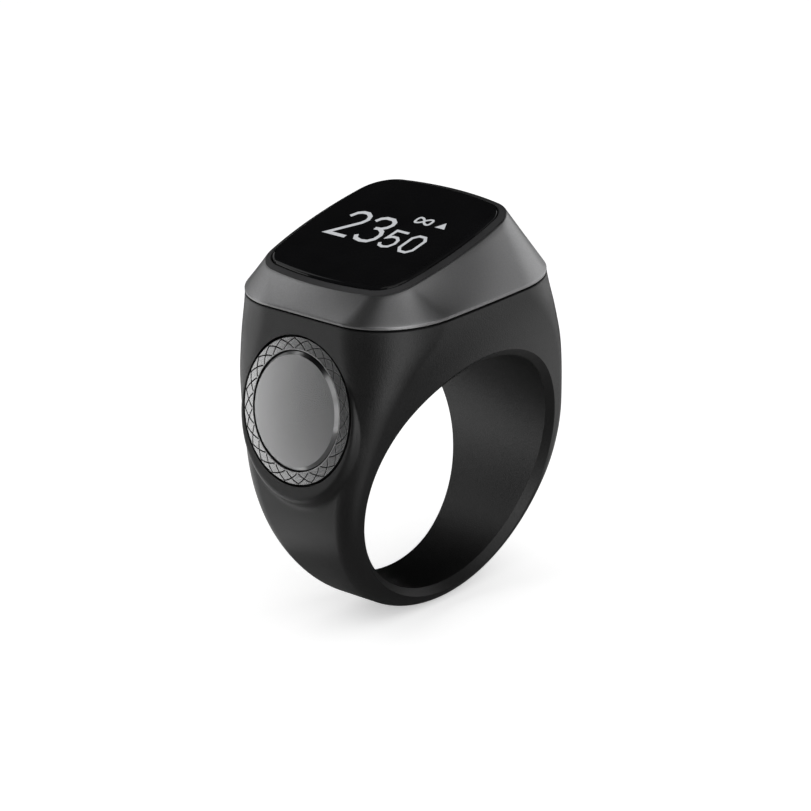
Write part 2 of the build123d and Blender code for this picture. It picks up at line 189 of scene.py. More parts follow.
class Skin:
    """Collects rows and rims of points, in millimetres, and closes them into one mesh."""

    def __init__(self) -> None:
        """Starts with no points."""
        self.points: list[np.ndarray] = []
        self.faces: list[tuple[int, ...]] = []
        self.count = 0

    def add_points(self, points: np.ndarray) -> int:
        """Keeps points for the faces that are made from them.

        Args:
            points: Points in any arrangement.

        Returns:
            The number of the first of them.
        """
        start = self.count
        self.points.append(points.reshape(-1, 3))
        self.count += len(self.points[-1])
        return start

    def add_rows(self, rows: np.ndarray, wrap: bool = False) -> None:
        """Spans neighbouring rows of points with four-sided faces.

        Args:
            rows: Points by row and column.
            wrap: Whether each row closes on itself.
        """
        height, width = rows.shape[:2]
        start = self.add_points(rows)
        index = np.arange(height * width).reshape(height, width) + start
        if wrap:
            index = np.concatenate((index, index[:, :1]), axis=1)
        corners = (index[:-1, :-1], index[:-1, 1:], index[1:, 1:], index[1:, :-1])
        self.faces.extend(map(tuple, np.stack(corners, axis=-1).reshape(-1, 4).tolist()))

    def add_lid(self, rim: np.ndarray) -> None:
        """Closes a rim of points with one flat face."""
        start = self.add_points(rim)
        self.faces.append(tuple(range(start, start + len(rim))))

    def add_drum(self, rows: np.ndarray) -> None:
        """Adds a closed solid: rows that wrap round, with a lid at either end.

        Args:
            rows: Points by row and column, from one end to the other.
        """
        self.add_rows(rows, wrap=True)
        self.add_lid(rows[0])
        self.add_lid(rows[-1])

    def raw_mesh(self, name: str) -> bpy.types.Mesh:
        """Makes the mesh from the points just as they were added.

        Args:
            name: Name of the mesh.

        Returns:
            The mesh, with nothing merged.
        """
        mesh = bpy.data.meshes.new(name)
        mesh.from_pydata((np.concatenate(self.points) * MM).tolist(), [], self.faces)
        return mesh

    def mesh(self, name: str, weld: float = 0.0015) -> bpy.types.Mesh:
        """Makes the mesh, with coinciding points merged and faces turned outwards.

        Args:
            name: Name of the mesh.
            weld: Distance in millimetres under which points merge.

        Returns:
            The finished mesh.
        """
        mesh = self.raw_mesh(name)
        weld_mesh(mesh, weld)
        return mesh


def new_object(name: str, mesh: bpy.types.Mesh) -> bpy.types.Object:
    """Puts a mesh in the scene as an object at the origin.

    Args:
        name: Name of the object.
        mesh: The mesh it shows.

    Returns:
        The object.
    """
    piece = bpy.data.objects.new(name, mesh)
    bpy.context.scene.collection.objects.link(piece)
    return piece


def evaluated_mesh(piece: bpy.types.Object) -> bpy.types.Mesh:
    """Gives a piece's mesh as it is after its modifiers."""
    graph = bpy.context.evaluated_depsgraph_get()
    return bpy.data.meshes.new_from_object(piece.evaluated_get(graph), depsgraph=graph)


def discard(piece: bpy.types.Object) -> None:
    """Deletes a piece that has done its work, and its mesh.

    Args:
        piece: The piece that is no longer needed.
    """
    mesh = piece.data
    bpy.data.objects.remove(piece)
    bpy.data.meshes.remove(mesh)


def shade(piece: bpy.types.Object, angle: float = 32.0) -> None:
    """Shades a piece smooth, with its sharp edges kept crisp.

    Args:
        piece: The piece that is shaded.
        angle: Angle in degrees from which an edge counts as sharp.
    """
    mesh = piece.data
    mesh.polygons.foreach_set("use_smooth", [True] * len(mesh.polygons))
    mesh.set_sharp_from_angle(angle=radians(angle))
    mesh.update()


def face_centres(piece: bpy.types.Object) -> np.ndarray:
    """Gives the centre of each face of a piece.

    Args:
        piece: The piece.

    Returns:
        The centres in millimetres, in the order of the faces.
    """
    centres = np.empty(3 * len(piece.data.polygons), dtype=np.float32)
    piece.data.polygons.foreach_get("center", centres)
    return centres.reshape(-1, 3) / MM


def set_zones(piece: bpy.types.Object, zones: np.ndarray) -> None:
    """Says for each face of a piece which of its finishes it takes."""
    piece.data.polygons.foreach_set("material_index", zones.astype(np.int32))


def settle(piece: bpy.types.Object, body: Body, node: str, *finishes: bpy.types.Material) -> None:
    """Dresses a rebuilt piece and lets it stand for its CAD node.

    Args:
        piece: The rebuilt piece.
        body: The body it moves with.
        node: The CAD node it replaces, which is hidden.
        finishes: Its materials, in the order of its zones.
    """
    zones = np.empty(len(piece.data.polygons), dtype=np.int32)
    piece.data.polygons.foreach_get("material_index", zones)
    piece.data.materials.clear()
    for finish in finishes:
        piece.data.materials.append(finish)
    set_zones(piece, zones)
    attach(piece, body.value)
    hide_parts(node)
    LOG.info("%s: %d faces", piece.name, len(piece.data.polygons))


def turned_rows(profile: list[tuple[float, float]], steps: int) -> np.ndarray:
    """Turns a profile about the out direction.

    Args:
        profile: Radius and height of each point.
        steps: Number of points round the axis.

    Returns:
        One row of points for each point of the profile.
    """
    turn = np.arange(steps) * (2.0 * pi / steps)
    return np.array(
        [np.stack((r * np.cos(turn), r * np.sin(turn), np.full(steps, h)), axis=-1) for r, h in profile]
    )


@dataclass(frozen=True)
class Outline:
    """A rounded rectangle with bowed sides, set by its half-sizes."""

    half_x: float
    half_y: float
    crown_y: float
    corner: float
    crown_x: float = 0.0
    side_steps: int = 20
    corner_steps: int = 24

    def grown(self, margin: float) -> "Outline":
        """Gives the outline moved outwards by an even margin."""
        corner = self.corner + margin
        return Outline(self.half_x + margin, self.half_y + margin, self.crown_y, corner, self.crown_x)

    def side_arc(self) -> tuple[float, float]:
        """Gives the radius of the bowed +Y side and the place of its centre along Y.

        Returns:
            The radius and the place.
        """
        end_x = self.half_x - self.crown_x
        radius = (end_x**2 + self.crown_y**2) / (2.0 * self.crown_y)
        return radius, self.half_y - radius

    def straight_end(self) -> tuple[np.ndarray, float, np.ndarray]:
        """Lays out the corner and a straight +X end.

        Returns:
            The corner's centre, the angle at which it meets the end, and the end's points.
        """
        side_radius, side_centre = self.side_arc()
        reach = side_radius - self.corner
        centre_x = self.half_x - self.corner
        centre = np.array((centre_x, side_centre + np.sqrt(reach**2 - centre_x**2)))
        down = np.linspace(centre[1], 0.0, self.side_steps + 1)
        return centre, 0.0, np.column_stack((np.full(len(down), self.half_x), down))

    def bowed_end(self) -> tuple[np.ndarray, float, np.ndarray]:
        """Lays out the corner and a bowed +X end.

        Returns:
            The corner's centre, the angle at which it meets the end, and the end's points.
        """
        side_radius, side_centre = self.side_arc()
        reach = side_radius - self.corner
        end_y = self.half_y - self.crown_y
        end_radius = (end_y**2 + self.crown_x**2) / (2.0 * self.crown_x)
        end_centre = self.half_x - end_radius
        end_reach = end_radius - self.corner
        gap = np.array((end_centre, -side_centre))
        span = np.hypot(*gap)
        middle = (reach**2 - end_reach**2 + span**2) / (2.0 * span)
        height = np.sqrt(reach**2 - middle**2)
        along = gap / span
        centre = np.array((0.0, side_centre)) + along * middle + np.array((along[1], -along[0])) * height
        tip = np.arctan2(centre[1], centre[0] - end_centre)
        turn = np.linspace(tip, 0.0, self.side_steps + 1)
        end = np.column_stack((end_centre + end_radius * np.cos(turn), end_radius * np.sin(turn)))
        return centre, tip, end

    def points(self) -> np.ndarray:
        """Walks the outline from the middle of the +Y side.

        Returns:
            Points of the closed outline, the same number for every size.
        """
        side_radius, side_centre = self.side_arc()
        centre, tip, end = self.bowed_end() if self.crown_x else self.straight_end()
        start = np.arctan2(centre[1] - side_centre, centre[0])
        side_turn = np.linspace(pi / 2.0, start, self.side_steps + 1)
        side_y = side_centre + side_radius * np.sin(side_turn)
        side = np.column_stack((side_radius * np.cos(side_turn), side_y))
        bend_turn = np.linspace(start, tip, self.corner_steps + 1)
        bend = centre + self.corner * np.column_stack((np.cos(bend_turn), np.sin(bend_turn)))
        quarter = np.concatenate((side[:-1], bend[:-1], end))
        lower = quarter[::-1][1:] * (1.0, -1.0)
        half = np.concatenate((quarter, lower))
        return np.concatenate((half[:-1], (half * (-1.0, 1.0))[::-1][:-1]))

    def level(self, height: float) -> np.ndarray:
        """Gives the outline lying flat at a height."""
        flat = self.points()
        return np.column_stack((flat, np.full(len(flat), height)))


def toned(tone: Colour, share: float) -> Colour:
    """Gives a tone made darker or lighter by a share, and no lighter than white."""
    return tuple(min(part * share, 1.0) for part in tone)


class ShaderSketch:
    """Builds one procedural material around a Principled shader."""

    def __init__(self, name: str) -> None:
        """Starts the material with its shader and output.

        Args:
            name: Name of the material.
        """
        self.material = bpy.data.materials.new(name)
        self.material.use_nodes = True
        self.tree = self.material.node_tree
        self.tree.nodes.clear()
        self.shader = self.tree.nodes.new("ShaderNodeBsdfPrincipled")
        output = self.tree.nodes.new("ShaderNodeOutputMaterial")
        self.tree.links.new(self.shader.outputs["BSDF"], output.inputs["Surface"])

    def set(self, **values: float | Colour) -> None:
        """Sets plain values on the shader's sockets.

        Args:
            values: The values by socket, with underscores for spaces in its name.
        """
        for name, value in values.items():
            socket = self.shader.inputs[name.replace("_", " ")]
            socket.default_value = (*value, 1.0) if isinstance(value, tuple) else value

    def coordinates(self, stretch: Point) -> bpy.types.NodeSocket:
        """Gives object coordinates in millimetres.

        Args:
            stretch: Share of the frequency kept along each axis.

        Returns:
            The coordinates' socket.
        """
        place = self.tree.nodes.new("ShaderNodeTexCoord")
        scale = self.tree.nodes.new("ShaderNodeMapping")
        scale.inputs["Scale"].default_value = tuple(part / MM for part in stretch)
        self.tree.links.new(place.outputs["Object"], scale.inputs["Vector"])
        return scale.outputs["Vector"]

    def noise(
        self, size: float, stretch: Point = (1.0, 1.0, 1.0), detail: float = 3.0
    ) -> bpy.types.NodeSocket:
        """Adds a noise pattern.

        Args:
            size: Size of its features in millimetres.
            stretch: Share of the frequency kept along each axis.
            detail: Number of finer octaves.

        Returns:
            The pattern's value socket.
        """
        node = self.tree.nodes.new("ShaderNodeTexNoise")
        node.inputs["Scale"].default_value = 1.0 / size
        node.inputs["Detail"].default_value = detail
        self.tree.links.new(self.coordinates(stretch), node.inputs["Vector"])
        return node.outputs["Fac"]

    def span(
        self, value: bpy.types.NodeSocket, low: float, high: float, start: float = 0.3, end: float = 0.7
    ) -> bpy.types.NodeSocket:
        """Maps a pattern from its usual range to another.

        Args:
            value: The pattern.
            low: Result at the start of the range.
            high: Result at the end of the range.
            start: Pattern value that gives low.
            end: Pattern value that gives high.

        Returns:
            The mapped socket.
        """
        node = self.tree.nodes.new("ShaderNodeMapRange")
        for name, number in (("From Min", start), ("From Max", end), ("To Min", low), ("To Max", high)):
            node.inputs[name].default_value = number
        self.tree.links.new(value, node.inputs["Value"])
        return node.outputs["Result"]

    def blend(
        self, share: bpy.types.NodeSocket, first: Colour | bpy.types.NodeSocket, second: Colour
    ) -> bpy.types.NodeSocket:
        """Blends two colours.

        Args:
            share: How much of the second shows, from 0 to 1.
            first: A colour or a pattern of colours.
            second: The other colour.

        Returns:
            The blend's socket.
        """
        node = self.tree.nodes.new("ShaderNodeMix")
        node.data_type = "RGBA"
        colours = [socket for socket in node.inputs if socket.type == "RGBA"]
        if isinstance(first, tuple):
            colours[0].default_value = (*first, 1.0)
        else:
            self.tree.links.new(first, colours[0])
        colours[1].default_value = (*second, 1.0)
        self.tree.links.new(share, node.inputs["Factor"])
        return next(socket for socket in node.outputs if socket.type == "RGBA")

    def attribute(self, name: str) -> bpy.types.NodeSocket:
        """Reads a value kept on the mesh.

        Args:
            name: Name of the mesh's attribute.

        Returns:
            The value's socket.
        """
        node = self.tree.nodes.new("ShaderNodeAttribute")
        node.attribute_name = name
        return node.outputs["Fac"]

    def bump(self, height: bpy.types.NodeSocket, depth: float, strength: float) -> None:
        """Raises the surface by a pattern.

        Args:
            height: The pattern.
            depth: Height of the relief in millimetres.
            strength: Share of the relief that shows.
        """
        node = self.tree.nodes.new("ShaderNodeBump")
        node.inputs["Distance"].default_value = depth * MM
        node.inputs["Strength"].default_value = strength
        self.tree.links.new(height, node.inputs["Height"])
        self.tree.links.new(node.outputs["Normal"], self.shader.inputs["Normal"])

    def feed(self, name: str, socket: bpy.types.NodeSocket) -> None:
        """Links a pattern to one of the shader's sockets."""
        self.tree.links.new(socket, self.shader.inputs[name])


@dataclass(frozen=True)
class Moulding:
    """Moulded plastic with a fine eroded grain."""

    name: str
    tone: Colour
    roughness: float = 0.5
    grain: float = 0.16
    grain_depth: float = 0.012
    cloud: float = 5.0
    variation: float = 0.16
    specular: float = 0.5
    octaves: float = 2.0
    roughness_fall: float = 0.06
    roughness_rise: float = 0.08
    relief: float = 0.6

    def material(self) -> bpy.types.Material:
        """Makes the material.

        Returns:
            The material, with its patterns.
        """
        sketch = ShaderSketch(self.name)
        sketch.set(Specular_IOR_Level=self.specular, Metallic=0.0)
        cloud = sketch.span(sketch.noise(self.cloud), 0.0, 1.0)
        low, high = toned(self.tone, 1.0 - self.variation), toned(self.tone, 1.0 + self.variation)
        sketch.feed("Base Color", sketch.blend(cloud, low, high))
        grain = sketch.noise(self.grain, detail=self.octaves)
        smooth, rough = self.roughness - self.roughness_fall, self.roughness + self.roughness_rise
        sketch.feed("Roughness", sketch.span(grain, smooth, rough))
        sketch.bump(grain, self.grain_depth, self.relief)
        return sketch.material


@dataclass(frozen=True)
class Metal:
    """Metal with a blasted or brushed surface, brushed where the grain is stretched."""

    name: str
    tone: Colour
    roughness: float = 0.35
    grain: float = 0.12
    stretch: Point = (1.0, 1.0, 1.0)
    grain_depth: float = 0.004
    variation: float = 0.1
    octaves: float = 4.0
    roughness_spread: float = 0.05
    relief: float = 0.5

    def material(self) -> bpy.types.Material:
        """Makes the material.

        Returns:
            The material, with its patterns.
        """
        sketch = ShaderSketch(self.name)
        sketch.set(Metallic=1.0)
        grain = sketch.noise(self.grain, self.stretch, detail=self.octaves)
        low, high = toned(self.tone, 1.0 - self.variation), toned(self.tone, 1.0 + self.variation)
        sketch.feed("Base Color", sketch.blend(sketch.span(grain, 0.0, 1.0), low, high))
        spread = self.roughness_spread
        sketch.feed("Roughness", sketch.span(grain, self.roughness + spread, self.roughness - spread))
        if self.grain_depth:
            sketch.bump(grain, self.grain_depth, self.relief)
        return sketch.material


@dataclass(frozen=True)
class BlackGlass:
    """Dark cover glass with the faintest haze."""

    name: str
    tone: Colour
    roughness: float = 0.06
    specular: float = 0.25
    haze: float = 3.0
    deepest: float = 0.8
    roughness_rise: float = 0.03

    def material(self) -> bpy.types.Material:
        """Makes the material.

        Returns:
            The material, with its patterns.
        """
        sketch = ShaderSketch(self.name)
        sketch.set(Specular_IOR_Level=self.specular, Metallic=0.0)
        haze = sketch.noise(self.haze)
        deep = toned(self.tone, self.deepest)
        sketch.feed("Base Color", sketch.blend(sketch.span(haze, 0.0, 1.0), deep, self.tone))
        sketch.feed("Roughness", sketch.span(haze, self.roughness, self.roughness + self.roughness_rise))
        return sketch.material


@dataclass(frozen=True)
class LitPixels:
    """Lit display segments, with a slight unevenness from pixel to pixel."""

    name: str
    tone: Colour
    strength: float
    unlit: Colour = (0.02, 0.02, 0.022)
    roughness: float = 0.3
    specular: float = 0.2
    pixel: float = 0.17
    dimmest: float = 0.88

    def material(self) -> bpy.types.Material:
        """Makes the material.

        Returns:
            The material, with its patterns.
        """
        sketch = ShaderSketch(self.name)
        sketch.set(Specular_IOR_Level=self.specular, Roughness=self.roughness, Base_Color=self.unlit)
        sketch.set(Emission_Strength=self.strength)
        pixel = sketch.noise(self.pixel, detail=1.0)
        dim = toned(self.tone, self.dimmest)
        sketch.feed("Emission Color", sketch.blend(sketch.span(pixel, 0.0, 1.0), dim, self.tone))
        return sketch.material


@dataclass(frozen=True)
class EngravedMetal:
    """Blasted metal whose cut lines are filled with black, and whose marked edges carry the same black as
    painted shade.
    """

    name: str
    tone: Colour
    # Black of the inked cut lines, and of the painted shade on the marked edges.
    ink_and_shade: Colour = (0.004, 0.004, 0.004)
    roughness: float = 0.25
    roughness_spread: float = 0.02
    grain: float = 0.09
    grain_depth: float = 0.001
    relief: float = 0.6
    darkest: float = 0.78

    def material(self) -> bpy.types.Material:
        """Makes the material.

        Returns:
            The material, with its patterns.
        """
        sketch = ShaderSketch(self.name)
        sketch.set(Specular_IOR_Level=0.0)
        blast = sketch.noise(self.grain)
        # The marks hold both the inked cut lines and the painted gap shade on the edges.
        ink_and_shade = sketch.attribute(INK_AND_SHADE_MARKS)
        bare = sketch.blend(sketch.span(blast, 0.0, 1.0), toned(self.tone, self.darkest), self.tone)
        sketch.feed("Base Color", sketch.blend(ink_and_shade, bare, self.ink_and_shade))
        sketch.feed("Metallic", sketch.span(ink_and_shade, 1.0, 0.0, start=0.0, end=1.0))
        rough, smooth = self.roughness + self.roughness_spread, self.roughness - self.roughness_spread
        sketch.feed("Roughness", sketch.span(blast, rough, smooth))
        sketch.bump(blast, self.grain_depth, self.relief)
        return sketch.material


@dataclass
class RingBody:
    """The sculpted body: a band that widens upwards into the head and carries the button's boss."""

    bore: float = 10.0
    bore_chamfer: float = 0.55
    arc_radius: float = 12.2
    arc_height: float = 0.55
    touch_angle: float = 171.44
    seam: float = 14.75
    top_edge: float = 0.06
    head_half_x: float = 10.2
    head_crown: float = 0.25
    width_heights: tuple[float, ...] = (-12.2, 0.0, 10.2, 14.75)
    half_widths: tuple[float, ...] = (3.05, 6.25, 9.5, 10.05)
    width_slopes: tuple[float, ...] = (0.24, 0.335, 0.24, 0.0)
    band_rounding: float = 1.9
    head_rounding: float = 6.0
    rounding_fade: float = 16.0
    pivot_offset: float = 1.0
    pivot_sweep: float = 2.5
    pivot_hold: float = 0.4
    arc_steps: int = 48
    flat_steps: int = 90
    side_rows: int = 10
    bore_rows: int = 16
    chamfer_rows: int = 3
    near_columns: int = 260
    near_seam_steps: int = 24
    far_columns: int = 110
    far_seam_steps: int = 14
    corner_rounds: int = 30
    angle_rounds: int = 40
    slope_probe: float = 0.01
    rim_gap: float = 0.02
    flank_crown: float = 0.95
    crown_full_angle: float = 13.0
    crown_fall_angle: float = 18.0
    crown_fall_span: float = 26.0
    crown_fall: float = 0.75
    land_half_y: float = 6.2
    land_half_z: float = 6.75
    land_edge: float = 0.22
    boss_depth: float = 1.3
    boss_spread: float = 0.7
    boss_drop: float = 0.35
    boss_blend: float = 0.5
    blend_start: float = 0.1
    blend_run: float = 0.6
    boss_margin: float = 14.0
    boss_below: float = 6.0
    boss_limit: float = 12.0
    boss_last_x: float = -2.0
    sharp_angle: float = 28.0

    def half_width(self, height: np.ndarray) -> np.ndarray:
        """Gives the body's half-width along the finger.

        Args:
            height: Heights above the bore's centre.

        Returns:
            The half-width at each height, on a smooth curve through the knots.
        """
        knots = np.array(self.width_heights)
        place = np.clip(np.searchsorted(knots, height) - 1, 0, len(knots) - 2)
        span = knots[place + 1] - knots[place]
        share = (height - knots[place]) / span
        widths, slopes = np.array(self.half_widths), np.array(self.width_slopes)
        return (
            (2 * share**3 - 3 * share**2 + 1) * widths[place]
            + (share**3 - 2 * share**2 + share) * span * slopes[place]
            + (3 * share**2 - 2 * share**3) * widths[place + 1]
            + (share**3 - share**2) * span * slopes[place + 1]
        )

    def fade(self, angle: np.ndarray) -> np.ndarray:
        """Gives the share of the head's form left in a section at an angle below the seam."""
        return np.exp(-((angle / self.rounding_fade) ** 2))

    def pivot(self, angle: np.ndarray) -> tuple[np.ndarray, np.ndarray]:
        """Gives the point from which a section is fanned.

        Args:
            angle: Angle of the section below the seam, in degrees.

        Returns:
            The point's places along X and Z.
        """
        turn = angle / 90.0
        ease = 1.0 - smooth_step((turn - self.pivot_hold) / (1.0 - self.pivot_hold))
        top = self.seam - self.top_edge
        return (self.pivot_offset + self.pivot_sweep * turn**2) * ease, top * (1.0 - turn)

    def side(self, x: np.ndarray, z: np.ndarray, angle: np.ndarray) -> np.ndarray:
        """Gives the half-width at points of the body, bowed in towards the flank.

        Args:
            x: Places along X.
            z: Heights.
            angle: Angle below the seam of the section through each point, in degrees.

        Returns:
            The half-width at each point.
        """
        rise = smooth_step(angle / self.crown_full_angle)
        fall = self.crown_fall * smooth_step((angle - self.crown_fall_angle) / self.crown_fall_span)
        crown = self.head_crown * self.fade(angle) + self.flank_crown * (rise * (1.0 - fall))
        return self.half_width(z) - crown * (x / self.head_half_x) ** 2

    def section_angle(self, x: np.ndarray, z: np.ndarray) -> np.ndarray:
        """Finds the sections that pass through points of the -X half.

        Args:
            x: Places along X.
            z: Heights.

        Returns:
            The angle of each section below the seam, in degrees.
        """
        low, high = np.zeros_like(x), np.full_like(x, 90.0)
        for _ in range(self.angle_rounds):
            middle = (low + high) / 2.0
            pivot_x, pivot_z = self.pivot(middle)
            turn = np.radians(middle)
            under = np.cos(turn) * (z - pivot_z) - np.sin(turn) * (x - pivot_x) < 0.0
            low, high = np.where(under, middle, low), np.where(under, high, middle)
        return (low + high) / 2.0

    def reach(self, x: np.ndarray, z: np.ndarray, angle: np.ndarray) -> np.ndarray:
        """Gives how far the outer line is from a pivot, along the section.

        Args:
            x: Pivot along X.
            z: Pivot height.
            angle: Angle of the section below the seam, in degrees.

        Returns:
            The distance to the straight flank or to the band's arc.
        """
        ray_x, ray_z = -np.cos(np.radians(angle)), -np.sin(np.radians(angle))
        touch = radians(self.touch_angle)
        flank = (self.arc_radius - cos(touch) * x - sin(touch) * (z - self.arc_height)) / (
            cos(touch) * ray_x + sin(touch) * ray_z
        )
        half = ray_x * x + ray_z * (z - self.arc_height)
        gap = x**2 + (z - self.arc_height) ** 2 - self.arc_radius**2
        arc = -half + np.sqrt(np.maximum(half**2 - gap, 0.0))
        touch_height = self.arc_height + self.arc_radius * sin(touch)
        return np.where((flank > 0.0) & (z + ray_z * flank >= touch_height), flank, arc)

    def fan(self, columns: int) -> np.ndarray:
        """Makes the outer skin of the -X half.

        Args:
            columns: Number of steps from the seam to the lowest point.

        Returns:
            Points by section, each from the +Y side round the outside to the -Y side.
        """
        angle = np.linspace(0.0, 90.0, columns + 1)
        turn = np.radians(angle)
        x, z = self.pivot(angle)
        ray_x, ray_z = -np.cos(turn), -np.sin(turn)
        reach = self.reach(x, z, angle)
        rounding = self.band_rounding + (self.head_rounding - self.band_rounding) * self.fade(angle)

        def width(along: np.ndarray) -> np.ndarray:
            """Gives the section's half-width at a distance from its pivot."""
            return self.side(x + ray_x * along, z + ray_z * along, angle)

        start = reach - rounding
        probe = self.slope_probe
        for _ in range(self.corner_rounds):
            slope = (width(start + probe) - width(start - probe)) / (2.0 * probe)
            start = reach - rounding - rounding * slope / np.sqrt(1.0 + slope**2)
        centre_along = reach - rounding
        centre_width = width(start) - rounding / np.sqrt(1.0 + slope**2)
        rim = self.bore + self.bore_chamfer + self.rim_gap
        half = ray_x * x + ray_z * z
        inside = half**2 - (x**2 + z**2 - rim**2)
        bore_along = np.where(inside > 0.0, -half + np.sqrt(np.maximum(inside, 0.0)), -1.0)
        first = np.arctan2(1.0, -slope)
        clipped = np.arccos(np.clip((bore_along - centre_along) / rounding, -1.0, 1.0))
        first = np.where(start < bore_along, clipped, first)
        bend = first[:, None] * np.linspace(1.0, 0.0, self.arc_steps + 1)[None, :]
        along = centre_along[:, None] + rounding[:, None] * np.cos(bend)
        wide = centre_width[:, None] + rounding[:, None] * np.sin(bend)
        flat = centre_width[:, None] * np.linspace(1.0, -1.0, self.flat_steps + 1)[None, 1:-1]
        along = np.concatenate((along, np.repeat(reach[:, None], self.flat_steps - 1, 1), along[:, ::-1]), 1)
        wide = np.concatenate((wide, flat, -wide[:, ::-1]), 1)
        return np.stack(
            (x[:, None] + ray_x[:, None] * along, wide, z[:, None] + ray_z[:, None] * along), axis=-1
        )

    def side_face(self, fan: np.ndarray, seam_steps: int) -> np.ndarray:
        """Makes the +Y side face of the -X half, between the skin and the bore.

        Args:
            fan: Outer skin of that half.
            seam_steps: Number of steps along the seam.

        Returns:
            Points by row, from the outer line to the rim of the bore's chamfer.
        """
        corner = fan[0, 0]
        line_x = np.linspace(0.0, corner[0], seam_steps + 1)[:-1]
        line_z = np.full(seam_steps, corner[2])
        line = np.stack((line_x, self.side(line_x, line_z, np.zeros(seam_steps)), line_z), axis=-1)
        outer = np.concatenate((line, fan[:, 0]))
        turn = np.arctan2(outer[:, 2], outer[:, 0])
        turn = np.where(turn < 0.0, turn + 2.0 * pi, turn)
        turn[0], turn[-1] = pi / 2.0, 1.5 * pi
        rim = self.bore + self.bore_chamfer
        rows = [outer]
        for share in np.linspace(0.0, 1.0, self.side_rows + 1)[1:]:
            x = (1.0 - share) * outer[:, 0] + share * rim * np.cos(turn)
            z = (1.0 - share) * outer[:, 2] + share * rim * np.sin(turn)
            x[0] = x[-1] = 0.0
            rows.append(np.stack((x, self.side(x, z, self.section_angle(x, z)), z), axis=-1))
        return np.array(rows)

    def boss_reach(self, cosine: np.ndarray, sine: np.ndarray, spread: float) -> np.ndarray:
        """Gives how far the boss's outline is from the button's axis.

        Args:
            cosine: Direction on the land, to the viewer's right.
            sine: Direction on the land, up the flank.
            spread: How far the outline is grown.

        Returns:
            The distance in each direction.
        """
        half_y, half_z = self.land_half_y + spread, self.land_half_z + spread
        a = (cosine / half_y) ** 2 + (sine / half_z) ** 2
        b = sine * self.boss_drop / half_z**2
        c = (self.boss_drop / half_z) ** 2 - 1.0
        return (-b + np.sqrt(b**2 - a * c)) / a

    def raise_boss(self, points: np.ndarray) -> np.ndarray:
        """Lifts the skin round the button to a flat land on a softly faired boss.

        Args:
            points: Points of the outer skin.

        Returns:
            The lifted points.
        """
        frame = button_frame()
        local = frame.local(points.reshape(-1, 3))
        right, up, height = local.T
        radius = np.hypot(right, up)
        cosine, sine = right / np.maximum(radius, TINY), up / np.maximum(radius, TINY)
        land = self.boss_reach(cosine, sine, 0.0)
        foot = self.boss_reach(cosine, sine, self.boss_spread)
        past = radius - land
        ease = np.where(
            past < self.land_edge, np.maximum(past + self.land_edge, 0.0) ** 2 / (4.0 * self.land_edge), past
        )
        boss = -ease * self.boss_depth / (foot - land)
        soft = self.boss_blend * smooth_step((past - self.blend_start) / self.blend_run) + TINY
        near = np.maximum(soft - np.abs(boss - height), 0.0) / soft
        lifted = np.maximum(boss, height) + near**2 * soft / 4.0
        step = np.arange(points.shape[1])
        hold = smooth_step(np.minimum(step, step[::-1]) / self.boss_margin)
        lifted = height + (lifted - height) * np.tile(hold, len(points))
        near_land = (height > -self.boss_below) & (radius < self.boss_limit)
        facing = points.reshape(-1, 3)[:, 0] < self.boss_last_x
        local[:, 2] = np.where(near_land & facing, lifted, height)
        return frame.place(local).reshape(points.shape)

    def add_half(self, skin: Skin, columns: int, seam_steps: int, mirror: float) -> np.ndarray:
        """Adds one half of the body to the skin.

        Args:
            skin: The skin being built.
            columns: Number of steps from the seam to the lowest point.
            seam_steps: Number of steps along the seam.
            mirror: 1 for the -X half and -1 for the +X half.

        Returns:
            The half's rim at the seam, from the +Y side's middle to the -Y side's middle.
        """
        fan = self.fan(columns)
        side = self.side_face(fan, seam_steps)
        rim = side[-1]
        bore = rim.copy()
        scale = self.bore / (self.bore + self.bore_chamfer)
        bore[:, (0, 2)] *= scale
        bore[:, 1] -= self.bore_chamfer
        chamfer = np.linspace(rim, bore, self.chamfer_rows + 1)
        flip = np.array((mirror, 1.0, 1.0))
        across = np.array((1.0, -1.0, 1.0))
        wall = np.linspace(bore, bore * across, self.bore_rows + 1)
        outside = self.raise_boss(fan) if mirror > 0.0 else fan
        for patch in (outside, side, side * across, chamfer, chamfer * across, wall):
            skin.add_rows(patch * flip)
        line = side[0][:seam_steps]
        return np.concatenate((line, fan[0], (line * across)[::-1])) * flip

    def blank(self) -> bpy.types.Mesh:
        """Makes the solid body.

        Returns:
            The closed mesh, with its bore and without its hollows.
        """
        skin = Skin()
        near = self.add_half(skin, self.near_columns, self.near_seam_steps, 1.0)
        far = self.add_half(skin, self.far_columns, self.far_seam_steps, -1.0)
        loop = np.concatenate((near[:-1], far[::-1][:-1]))
        ahead = np.roll(loop, -1, axis=0) - np.roll(loop, 1, axis=0)
        inward = np.stack((-ahead[:, 1], ahead[:, 0]), axis=-1)
        inward /= np.linalg.norm(inward, axis=1, keepdims=True)
        if np.sum(inward * loop[:, :2]) > 0.0:
            inward = -inward
        top = loop.copy()
        top[:, :2] += inward * self.top_edge
        top[:, 2] = self.seam
        skin.add_rows(np.array((loop, top)), wrap=True)
        skin.add_lid(top)
        return skin.mesh("ring_body_blank")

    def build(self) -> bpy.types.Object:
        """Makes the body with its hollows and posts.

        Returns:
            The body as an object.
        """
        piece = new_object("ring_body_shell", self.blank())
        hollows = BodyHollows()
        for cutter in hollows.cutters():
            carve(piece, cutter, Carving.CUT)
        for post in hollows.posts():
            carve(piece, post, Carving.JOIN)
        shade(piece, self.sharp_angle)
        return piece


def carve(piece: bpy.types.Object, other: bpy.types.Object, way: Carving) -> None:
    """Changes a piece by another shape and deletes that shape.

    Args:
        piece: The piece that is changed.
        other: The shape it is changed by.
        way: Whether the shape is cut from the piece or joined to it.
    """
    modifier = piece.modifiers.new("carve", "BOOLEAN")
    modifier.operation = way.value
    modifier.solver = "MANIFOLD"
    modifier.object = other
    mesh = evaluated_mesh(piece)
    piece.modifiers.clear()
    old, piece.data = piece.data, mesh
    bpy.data.meshes.remove(old)
    discard(other)


